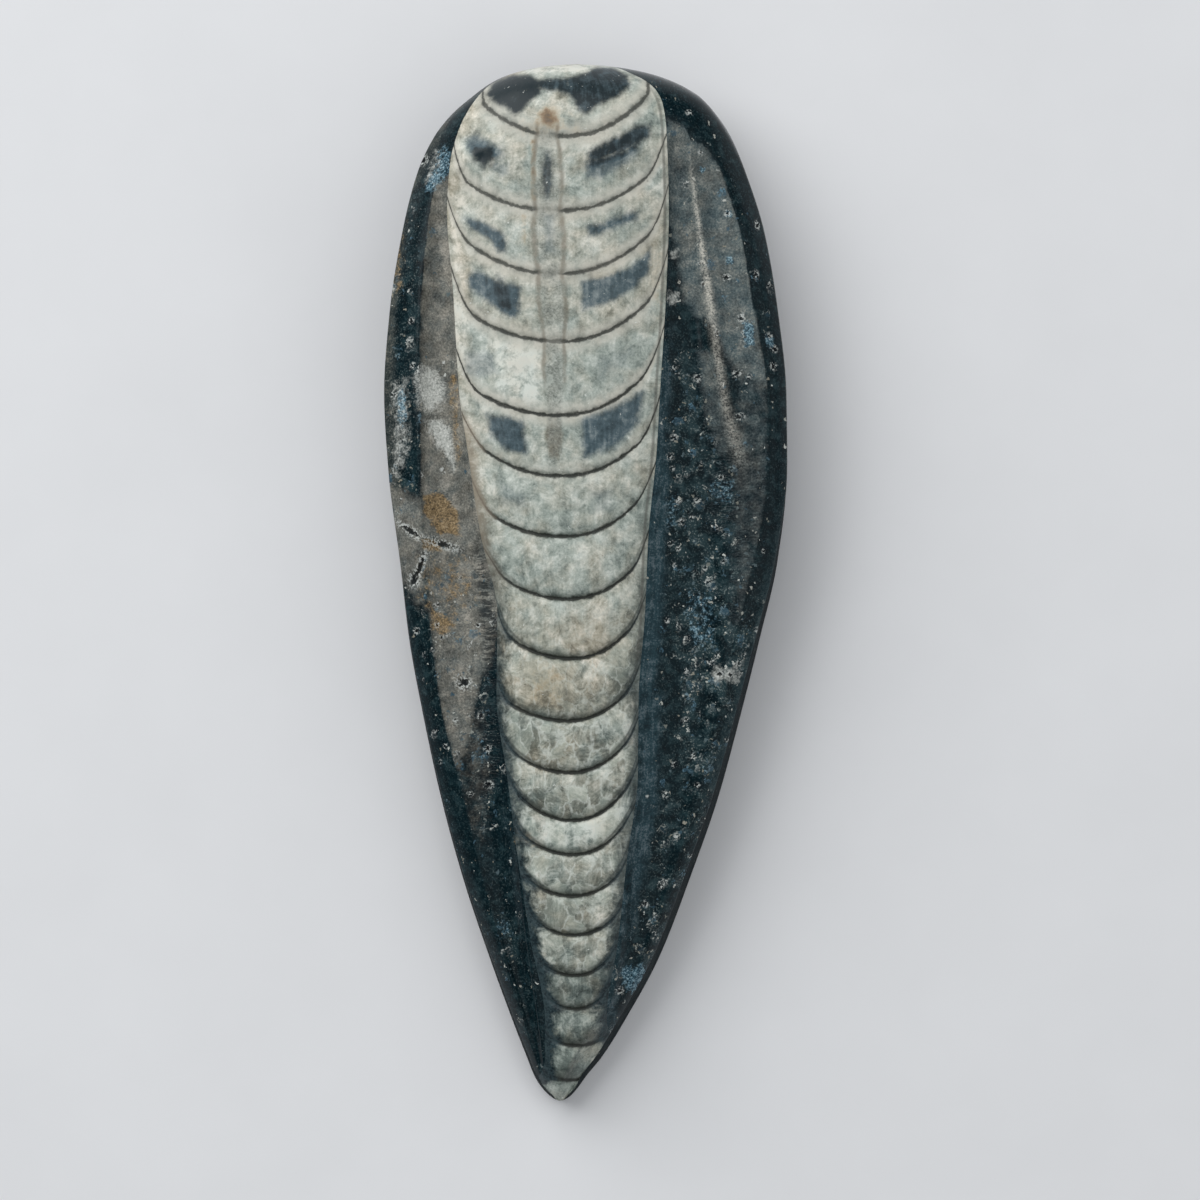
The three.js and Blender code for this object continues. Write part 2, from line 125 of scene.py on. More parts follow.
FLUTES = [
    {  # left of the shell
        "middle": [
            (-59.2, -4.5), (-50.0, -6.3), (-43.0, -8.0), (-34.0, -10.0), (-25.0, -11.5),
            (-15.5, -13.2), (-6.0, -13.8), (5.0, -15.2), (12.0, -15.9), (30.0, -16.5),
            (46.0, -16.4), (59.2, -14.0),
        ],
        "width": [
            (-59.2, 0.6), (-50.0, 1.0), (-43.0, 1.4), (-34.0, 2.0), (-25.0, 2.6), (-15.5, 3.3),
            (-6.0, 3.5), (5.0, 2.8), (12.0, 2.2), (30.0, 1.9), (46.0, 1.3), (59.2, 1.2),
        ],
        "drop": [
            (-59.2, 0.6), (-55.0, 1.5), (-43.0, 2.5), (-25.0, 3.1), (0.0, 3.5), (21.0, 3.6),
            (40.0, 3.4), (47.0, 2.4), (52.0, 0.0),
        ],
    },
    {  # close along the right of the shell
        "middle": [
            (-59.2, 2.5), (-45.0, 5.3), (-36.0, 7.9), (-24.6, 10.2), (-13.2, 11.9), (-1.8, 12.5),
            (9.6, 13.1), (21.0, 12.4), (32.4, 11.5), (44.0, 10.9), (59.2, 10.5),
        ],
        "width": [
            (-59.2, 0.8), (-45.0, 1.5), (-36.0, 2.5), (-24.6, 4.0), (-13.2, 5.0), (9.6, 5.0),
            (21.0, 2.7), (32.4, 2.2), (44.0, 1.6), (59.2, 1.5),
        ],
        "drop": [
            (-59.2, 0.6), (-55.0, 1.3), (-45.0, 2.5), (-25.0, 3.2), (0.0, 3.6), (32.0, 3.6),
            (44.0, 2.9), (50.0, 1.6), (56.0, 0.0),
        ],
    },
    {  # the wide one outside it, which runs out half way down
        "middle": [
            (-20.0, 14.5), (0.0, 18.0), (12.0, 18.8), (21.0, 18.4), (32.0, 16.3), (45.0, 14.2),
            (59.2, 12.0),
        ],
        "width": [(-20.0, 3.0), (0.0, 2.6), (21.0, 3.6), (32.0, 3.2), (45.0, 2.3), (59.2, 2.0)],
        "drop": [(-20.0, 1.6), (0.0, 2.4), (12.0, 2.8), (21.0, 2.9), (45.0, 3.1), (53.0, 0.0)],
    },
]

# The septa from tip to blunt end: lowest point on the middle line, rise to the left edge of the
# shell, rise to the right edge.
SEPTA = [
    (-56.9, 0.7, 0.5), (-52.9, 1.3, 1.1), (-48.7, 1.8, 2.2), (-44.9, 2.1, 3.0),
    (-40.3, 2.7, 2.6), (-35.9, 2.7, 3.2), (-31.2, 3.1, 4.9), (-27.4, 4.3, 5.4),
    (-22.0, 3.5, 5.0), (-16.2, 3.1, 4.8), (-9.2, 3.6, 5.4), (-2.5, 3.8, 5.3),
    (4.5, 3.9, 6.1), (11.3, 4.9, 6.2), (18.1, 4.4, 7.0), (26.4, 4.8, 7.0),
    (34.0, 5.9, 7.1), (41.1, 5.0, 6.4), (49.7, 4.8, 5.8),
]
# How each chamber looks, from the tip's, past those between the septa, to the blunt end's:
# paleness, warmth, pale veins, dark grey shade towards its lower septum.
CHAMBER_TONES = [
    (0.54, 0.10, 0.15, 0.00), (0.44, 0.15, 0.20, 0.15), (0.36, 0.20, 0.25, 0.30),
    (0.33, 0.15, 0.40, 0.20), (0.54, 0.35, 0.80, 0.35), (0.54, 0.40, 0.80, 0.30),
    (0.62, 0.35, 0.90, 0.30), (0.68, 0.30, 0.80, 0.20), (0.60, 0.35, 0.90, 0.40),
    (0.57, 0.45, 0.90, 0.25), (0.53, 0.62, 0.60, 0.20), (0.67, 0.40, 0.40, 0.30),
    (0.69, 0.15, 0.30, 0.20), (0.69, 0.20, 0.30, 0.15), (0.68, 0.20, 0.20, 0.05),
    (0.70, 0.10, 0.20, 0.00), (0.66, 0.40, 0.10, 0.00), (0.70, 0.35, 0.10, 0.00),
    (0.68, 0.30, 0.20, 0.00), (0.68, 0.35, 0.10, 0.00),
]

BACK_CHAMFER = 0.8              # height and depth of the chamfer round the back
MOST_INSET = 0.2                # a wall leans in by no more than this share of the width there,
LEAST_INSET = 0.15              # or by this much where that share is less
SHELL_CROWN = 2.4               # power of the shell's dome, from its middle to its edges
SEPTUM_CURVE = 2.2              # power of a septum's bow
FACE_DROP = 1.0                 # from the top of the shell to the limestone beside it
FLUTE_LIFT = 1.0                # rise of a flute at its width from its middle
SIDE_CROWN = 0.35               # swelling of a bevel
CREST_ROUND = 0.25              # how gently two surfaces meet
BEVEL_FEATHER = 0.12            # height over which the face turns into the bevel
END_FROM, END_TO = 46.0, 56.0   # where the bevel turns from flat to round
BULGE_POWER = 0.8               # how full a chamber's swelling is
GROOVE_WIDTH = 0.32
PLATE_SCALE = 0.6               # crystal plates in a unit
SIDE_SAW_SCALE = (0.4, 0.4, 2.5)
BACK_SAW_SCALE = (0.25, 2.2, 1.0)
GROOVE = [
    (-59.2, 0.10), (-52.0, 0.22), (-40.0, 0.34), (0.0, 0.34), (10.0, 0.22), (20.0, 0.12),
    (59.2, 0.10),
]
BULGE = [(-59.2, 0.05), (-50.0, 0.18), (-10.0, 0.26), (5.0, 0.18), (20.0, 0.08), (59.2, 0.04)]

# The mesh. Columns are counted over the left bevel, the left flute, the shell, the right flutes
# and the right bevel.
COLUMNS = (20, 30, 74, 36, 16)
LEAST_STRETCH = 0.03            # least share of a row's width for any of the five
MOST_BEVEL = 0.65               # most of the way from the rim to the shell that a bevel takes
ROW_STEP = 0.262
LEAST_ROWS = 10                 # in a chamber
ROW_CROWDING = 0.55             # how much rows crowd towards the septa
TIP_ROWS, TIP_CROWDING = 12, 1.8
HEAD_ROWS, HEAD_CROWDING = 32, 1.6
TIP_CHAMBER = -0.65             # chamber number at the very tip, counted from the first septum
HEAD_CHAMBER = 0.9              # and at the blunt end, counted from the last
WALL_ROWS = 7
BACK_COLUMNS = 10
RIM_STRIDE = 3                  # every third point of the rim is enough to measure to
SHELL_SLOT, LIMESTONE_SLOT, SIDE_SLOT, BACK_SLOT = range(4)

# The stage, in metres, and the camera's lens and sensor in millimetres.
FLOOR_SIZE = 4.0
CAMERA_TARGET = Vector((0.00165, -0.0023, 0.010))
CAMERA_LENS, CAMERA_SENSOR = 135, 36
WINDOW_PLACE, WINDOW_SIZE = Vector((-0.45, 0.5, 0.55)), 1.0
FILL_PLACE, FILL_SIZE = Vector((0.55, -0.15, 0.75)), 2.0
SKY_TINT = (0.9, 0.95, 1.0, 1.0)


def smooth_curve(stations):
    """A curve through given stations that never swings past them."""
    at, value = np.array(stations, dtype=float).T
    slope = np.diff(value) / np.diff(at)
    before, after = slope[:-1], slope[1:]
    steady = before * after > 0
    inner = np.where(steady, 2 * before * after / np.where(steady, before + after, 1), 0)
    tangent = np.concatenate(([slope[0]], inner, [slope[-1]]))

    def curve(place):
        place = np.clip(place, at[0], at[-1])
        i = np.clip(np.searchsorted(at, place, side="right") - 1, 0, len(at) - 2)
        span = at[i + 1] - at[i]
        t = (place - at[i]) / span
        turn = t * t * (3 - 2 * t)
        bend = t * (1 - t) * span * ((1 - t) * tangent[i] - t * tangent[i + 1])
        return value[i] * (1 - turn) + value[i + 1] * turn + bend

    return curve


def smooth_step(low, high, value):
    """Eases from 0 at one value to 1 at the other, which may be the lower of the two."""
    share = np.clip((value - low) / (high - low), 0, 1)
    return share * share * (3 - 2 * share)


def angle_at(y):
    """Places along the stone as an angle, in which both rounded ends are smooth."""
    return np.arccos(np.clip(-np.asarray(y) / HALF_LENGTH, -1, 1))


def outline_curve(stations):
    """One side of the outline, as X over the angle along the stone."""
    return smooth_curve([(float(angle_at(y)), x) for y, x in stations])


def both(table):
    """The curves of a table that has one list for each side."""
    return {side: smooth_curve(stations) for side, stations in table.items()}


outline = {"left": outline_curve(LEFT_OUTLINE), "right": outline_curve(RIGHT_OUTLINE)}
wall_lean = both(WALL_LEAN)
bevel_rise = both(BEVEL_RISE)
bevel_width = both(BEVEL_WIDTH)
shell_left = smooth_curve(SHELL_LEFT)
shell_right = smooth_curve(SHELL_RIGHT)
shell_top = smooth_curve(SHELL_TOP)
wall_top = smooth_curve(WALL_TOP)
groove_depth = smooth_curve(GROOVE)
bulge_height = smooth_curve(BULGE)
septum_places = np.array([y for y, _, _ in SEPTA])
SAG_ENDS = {"left": 1, "right": 2}
sag = {
    side: smooth_curve([(-HALF_LENGTH, 0.0)] + [(s[0], s[i]) for s in SEPTA] + [(HALF_LENGTH, 0.0)])
    for side, i in SAG_ENDS.items()
}
flutes = [{name: smooth_curve(stations) for name, stations in flute.items()} for flute in FLUTES]


def blended_lower(a, b):
    """The lower of two surfaces, eased where they cross."""
    near = np.maximum(CREST_ROUND - np.abs(a - b), 0) / CREST_ROUND
    return np.minimum(a, b) - near * near * CREST_ROUND / 4


def shaped_noise(x, y, scale, seed):
    """Smooth noise from about -1 to 1 at many places, with features of 1 / scale units."""
    values = [
        noise.fractal((a * scale, b * scale, seed), 1.0, 2.0, 4) for a, b in zip(x.ravel(), y.ravel())
    ]
    return np.array(values).reshape(x.shape)


# ---------------------------------------------------------------------------------------------
# The mesh: rows that bow as the septa do, between a rim that runs round the stone
# ---------------------------------------------------------------------------------------------

def mesh_rows():
    """Lowest point and chamber number of every row, crowded towards the septa."""
    places, chambers = [], []
    first, last = septum_places[0], septum_places[-1]
    below = first + HALF_LENGTH
    for i in range(1, TIP_ROWS):
        share = (i / TIP_ROWS) ** TIP_CROWDING
        places.append(-HALF_LENGTH + share * below)
        chambers.append(TIP_CHAMBER * (1 - share))
    for number, (low, high) in enumerate(zip(septum_places[:-1], septum_places[1:])):
        count = max(LEAST_ROWS, round((high - low) / ROW_STEP))
        for i in range(count):
            share = i / count
            share -= ROW_CROWDING * math.sin(2 * math.pi * share) / (2 * math.pi)
            places.append(low + share * (high - low))
            chambers.append(number + share)
    for i in range(HEAD_ROWS):
        share = 1 - (1 - i / HEAD_ROWS) ** HEAD_CROWDING
        places.append(last + share * (HALF_LENGTH - last))
        chambers.append(len(septum_places) - 1 + HEAD_CHAMBER * share)
    return np.array(places), np.array(chambers)


def outline_points(y, side):
    """Points of one side's outline at the foot of the wall, at its top and under the back."""
    angle = angle_at(y)
    step = 0.01
    before = np.maximum(angle - step, 0)
    after = np.minimum(angle + step, math.pi)
    along_x = outline[side](after) - outline[side](before)
    along_y = HALF_LENGTH * (np.cos(before) - np.cos(after))
    length = np.hypot(along_x, along_y)
    turn = 1 if side == "left" else -1
    point = np.stack([outline[side](angle), y], axis=-1)
    inward = np.stack([turn * along_y / length, -turn * along_x / length], axis=-1)
    width = outline["right"](angle) - outline["left"](angle)
    most = np.maximum(MOST_INSET * width, LEAST_INSET)
    lean = np.minimum(wall_lean[side](y), most)
    upper = point + inward * lean[..., None]
    under = point + inward * np.minimum(BACK_CHAMFER, most)[..., None]
    return point, upper, under


def distance_to_rim(x, y, rim):
    """Distance from each place to the closed line through the rim's points."""
    ends = np.roll(rim, -1, axis=0)
    span = ends - rim
    square = (span ** 2).sum(axis=1)
    nearest = np.full(x.shape, np.inf)
    for (ax, ay), (sx, sy), length in zip(rim, span, square):
        t = np.clip(((x - ax) * sx + (y - ay) * sy) / length, 0, 1)
        np.minimum(nearest, (x - ax - t * sx) ** 2 + (y - ay - t * sy) ** 2, out=nearest)
    return np.sqrt(nearest)


def bevel_height(x, y, gap):
    """Height of the bevel, which rises from the wall and rounds over at the blunt end."""
    on_left = x < (shell_left(y) + shell_right(y)) / 2
    width = np.where(on_left, bevel_width["left"](y), bevel_width["right"](y))
    rise = np.where(on_left, bevel_rise["left"](y), bevel_rise["right"](y))
    share = gap / width
    inside = np.minimum(share, 1)
    straight = share + SIDE_CROWN * inside * (1 - inside)
    rounded = np.sqrt(1 - (1 - inside) ** 2)
    at_end = smooth_step(END_FROM, END_TO, y)
    return wall_top(y) + rise * (straight * (1 - at_end) + rounded * at_end)


def flute_heights(x, y):
    """Height of each ground flute, as if it were alone."""
    top = shell_top(y)
    return [
        top - flute["drop"](y) + FLUTE_LIFT * ((x - flute["middle"](y)) / flute["width"](y)) ** 2
        for flute in flutes
    ]


def limestone_height(x, y):
    """Height of the limestone beside the shell, with the flutes cut into it."""
    height = shell_top(y) - FACE_DROP
    for hollow in flute_heights(x, y):
        height = blended_lower(height, hollow)
    return height


def face_height(x, y, across, gap, relief):
    """Height of the face, and 1 where a bevel forms it."""
    foot = limestone_height(x, y)
    left, right = shell_left(y), shell_right(y)
    left_foot, right_foot = limestone_height(left, y), limestone_height(right, y)
    share = (across + 1) / 2
    shell_foot = left_foot * (1 - share) + right_foot * share
    dome = 1 - np.abs(across) ** SHELL_CROWN
    shell = shell_foot + (shell_top(y) - shell_foot) * dome + relief * (1 - across ** 4)
    height = np.where(np.abs(across) < 1, shell, foot)
    bevel = bevel_height(x, y, gap)
    return blended_lower(height, bevel), smooth_step(BEVEL_FEATHER, -BEVEL_FEATHER, bevel - height)


def column_places(left_end, right_end):
    """X of every column of one row, following the shell's edges and the bevels."""
    (left, left_y), (right, right_y) = left_end, right_end
    gap = LEAST_STRETCH * (right - left)
    shell = float(shell_left(left_y)), float(shell_right(right_y))
    most_left = left + MOST_BEVEL * (shell[0] - left)
    most_right = right + MOST_BEVEL * (shell[1] - right)
    stops = [
        left, min(left + float(bevel_width["left"](left_y)), most_left), *shell,
        max(right - float(bevel_width["right"](right_y)), most_right), right,
    ]
    for i in range(1, len(COLUMNS)):
        stops[i] = min(max(stops[i], stops[i - 1] + gap), right - gap * (len(COLUMNS) - i))
    places = [left]
    for (low, high), count in zip(zip(stops, stops[1:]), COLUMNS):
        places += [low + (high - low) * (i + 1) / count for i in range(count)]
    return places


class StoneMesh:
    """The stone's points in units: its rim, its face row by row, and the rings of its wall."""

    def __init__(self, groove, bulge):
        self.places, self.chambers = mesh_rows()
        self.rows = len(self.places)
        self.left = outline_points(self.places + sag["left"](self.places), "left")
        self.right = outline_points(self.places + sag["right"](self.places), "right")
        tip = outline_points(np.array([-HALF_LENGTH]), "left")
        head = outline_points(np.array([HALF_LENGTH]), "left")
        for (foot, upper, under), direction in ((tip, 1.0), (head, -1.0)):
            inset = np.array([[0.0, direction * np.linalg.norm(upper - foot)]])
            upper[:] = foot + inset
            under[:] = foot + inset
        self.rim = [
            np.concatenate([tip[i], self.left[i], head[i], self.right[i][::-1]]) for i in range(3)
        ]
        self.build_face(groove, bulge)
        self.build_wall()

    def face_row(self, i):
        """Places of the points in one row of the face, which bows as a septum does."""
        base = self.places[i]
        left, right = self.left[1][i], self.right[1][i]
        inset = (self.left[0][i][1] - left[1] + self.right[0][i][1] - right[1]) / 2
        shell = float(shell_left(left[1])), float(shell_right(right[1]))
        middle = min(max(sum(shell) / 2, left[0]), right[0])
        x = np.array(column_places(left, right))
        on_left = x < middle
        reach = np.where(on_left, max(shell[0], left[0]), min(shell[1], right[0]))
        across = np.minimum(np.abs((x - middle) / (reach - middle)), 1)
        end = np.where(on_left, left[1], right[1])
        y = (base - inset) + (end - base + inset) * across ** SEPTUM_CURVE
        y[0], y[-1] = left[1], right[1]
        return x, y

    def build_face(self, groove, bulge):
        x, y = np.array([self.face_row(i) for i in range(self.rows)]).transpose(1, 0, 2)
        chamber = np.repeat(self.chambers[:, None], x.shape[1], axis=1)
        left, right = shell_left(y), shell_right(y)
        across = (2 * x - left - right) / (right - left)
        gap = distance_to_rim(x, y, self.rim[1][::RIM_STRIDE])
        pitch = np.interp(chamber, np.arange(len(SEPTA) - 1) + 0.5, np.diff(septum_places))
        outer = np.clip((np.abs(across) - EDGE_CLIMB_FROM) / (1 - EDGE_CLIMB_FROM), 0, 1)
        cup = chamber - smooth_curve(EDGE_CLIMB)(y) * outer ** 2
        seam = np.abs(cup - np.round(cup)) * pitch
        share = cup - np.floor(cup)
        relief = bulge * bulge_height(y) * np.sin(math.pi * share) ** BULGE_POWER
        relief -= groove * groove_depth(y) * np.exp(-((seam / GROOVE_WIDTH) ** 2))
        z, bevel = face_height(x, y, across, gap, relief)
        z[:, 0] = wall_top(y[:, 0])
        z[:, -1] = wall_top(y[:, -1])
        self.face = {
            "x": x, "y": y, "z": z, "cup": cup, "across": across, "rim_gap": gap,
            "pitch": pitch, "bevel": bevel,
        }

    def build_wall(self):
        foot, upper, under = self.rim
        z = self.face["z"]
        heights = np.concatenate([
            [wall_top(-HALF_LENGTH)], z[:, 0], [wall_top(HALF_LENGTH)], z[::-1, -1],
        ])
        self.rings = []
        for share in np.arange(1, WALL_ROWS + 1) / WALL_ROWS:
            level = heights + (BACK_CHAMFER - heights) * share
            self.rings.append(np.column_stack([upper + (foot - upper) * share, level]))
        self.rings.append(np.column_stack([under, np.zeros(len(under))]))


def grid_quads(grid):
    """Four-sided faces between neighbouring rows and columns of point numbers."""
    corners = [grid[:-1, :-1], grid[:-1, 1:], grid[1:, 1:], grid[1:, :-1]]
    return np.stack(corners, axis=-1).reshape(-1, 4).tolist()


def fan(corner, starts, ends):
    """Triangles from one point to a row of points."""
    return [[int(corner), int(a), int(b)] for a, b in zip(starts, ends)]


def write_mesh(form):
    """Turns the form into one closed Blender mesh. Returns it with its points in units."""
    face = form.face
    rows, columns = face["x"].shape
    tip = [*form.rim[1][0], wall_top(-HALF_LENGTH)]
    head = [*form.rim[1][rows + 1], wall_top(HALF_LENGTH)]
    points = np.column_stack([face[k].ravel() for k in ("x", "y", "z")])
    tip_index, head_index = len(points), len(points) + 1
    points = np.concatenate([points, [tip, head]])

    grid = np.arange(rows * columns).reshape(rows, columns)
    faces = grid_quads(grid)
    middle = (face["across"][:-1, :-1] + face["across"][1:, 1:]) / 2
    slots = np.where(np.abs(middle) < 1, SHELL_SLOT, LIMESTONE_SLOT).ravel().tolist()
    faces += fan(tip_index, grid[0, 1:], grid[0, :-1])
    faces += fan(head_index, grid[-1, :-1], grid[-1, 1:])
    slots += [SHELL_SLOT] * (len(faces) - len(slots))

    ring = np.concatenate([[tip_index], grid[:, 0], [head_index], grid[::-1, -1]])
    for ring_points in form.rings:
        low = np.arange(len(points), len(points) + len(ring_points))
        points = np.concatenate([points, ring_points])
        faces += np.stack([ring, np.roll(ring, -1), np.roll(low, -1), low], axis=-1).tolist()
        ring = low
    slots += [SIDE_SLOT] * (len(faces) - len(slots))

    # the sawn back, in rows from the left rim to the right
    left, right = ring[1:rows + 1], ring[rows + 2:][::-1]
    shares = np.arange(1, BACK_COLUMNS) / BACK_COLUMNS
    inner = np.stack([points[left] * (1 - share) + points[right] * share for share in shares], axis=1)
    inner_index = len(points) + np.arange(rows * len(shares)).reshape(rows, -1)
    points = np.concatenate([points, inner.reshape(-1, 3)])
    back = np.column_stack([left, inner_index, right])
    faces += grid_quads(back.T)
    faces += fan(ring[0], back[0, :-1], back[0, 1:])
    faces += fan(ring[rows + 1], back[-1, 1:], back[-1, :-1])
    slots += [BACK_SLOT] * (len(faces) - len(slots))

    mesh = bpy.data.meshes.new(PIECE)
    mesh.from_pydata(points.tolist(), [], faces)
    mesh.polygons.foreach_set("material_index", slots)
    mesh.polygons.foreach_set("use_smooth", [True] * len(faces))
    return mesh, points


# ---------------------------------------------------------------------------------------------
# Marks on the stone. Each is (strength, softness of its edge, corners of its outline), in units and
# seen from above. They become fields on the mesh, which the materials read as masks.
# ---------------------------------------------------------------------------------------------

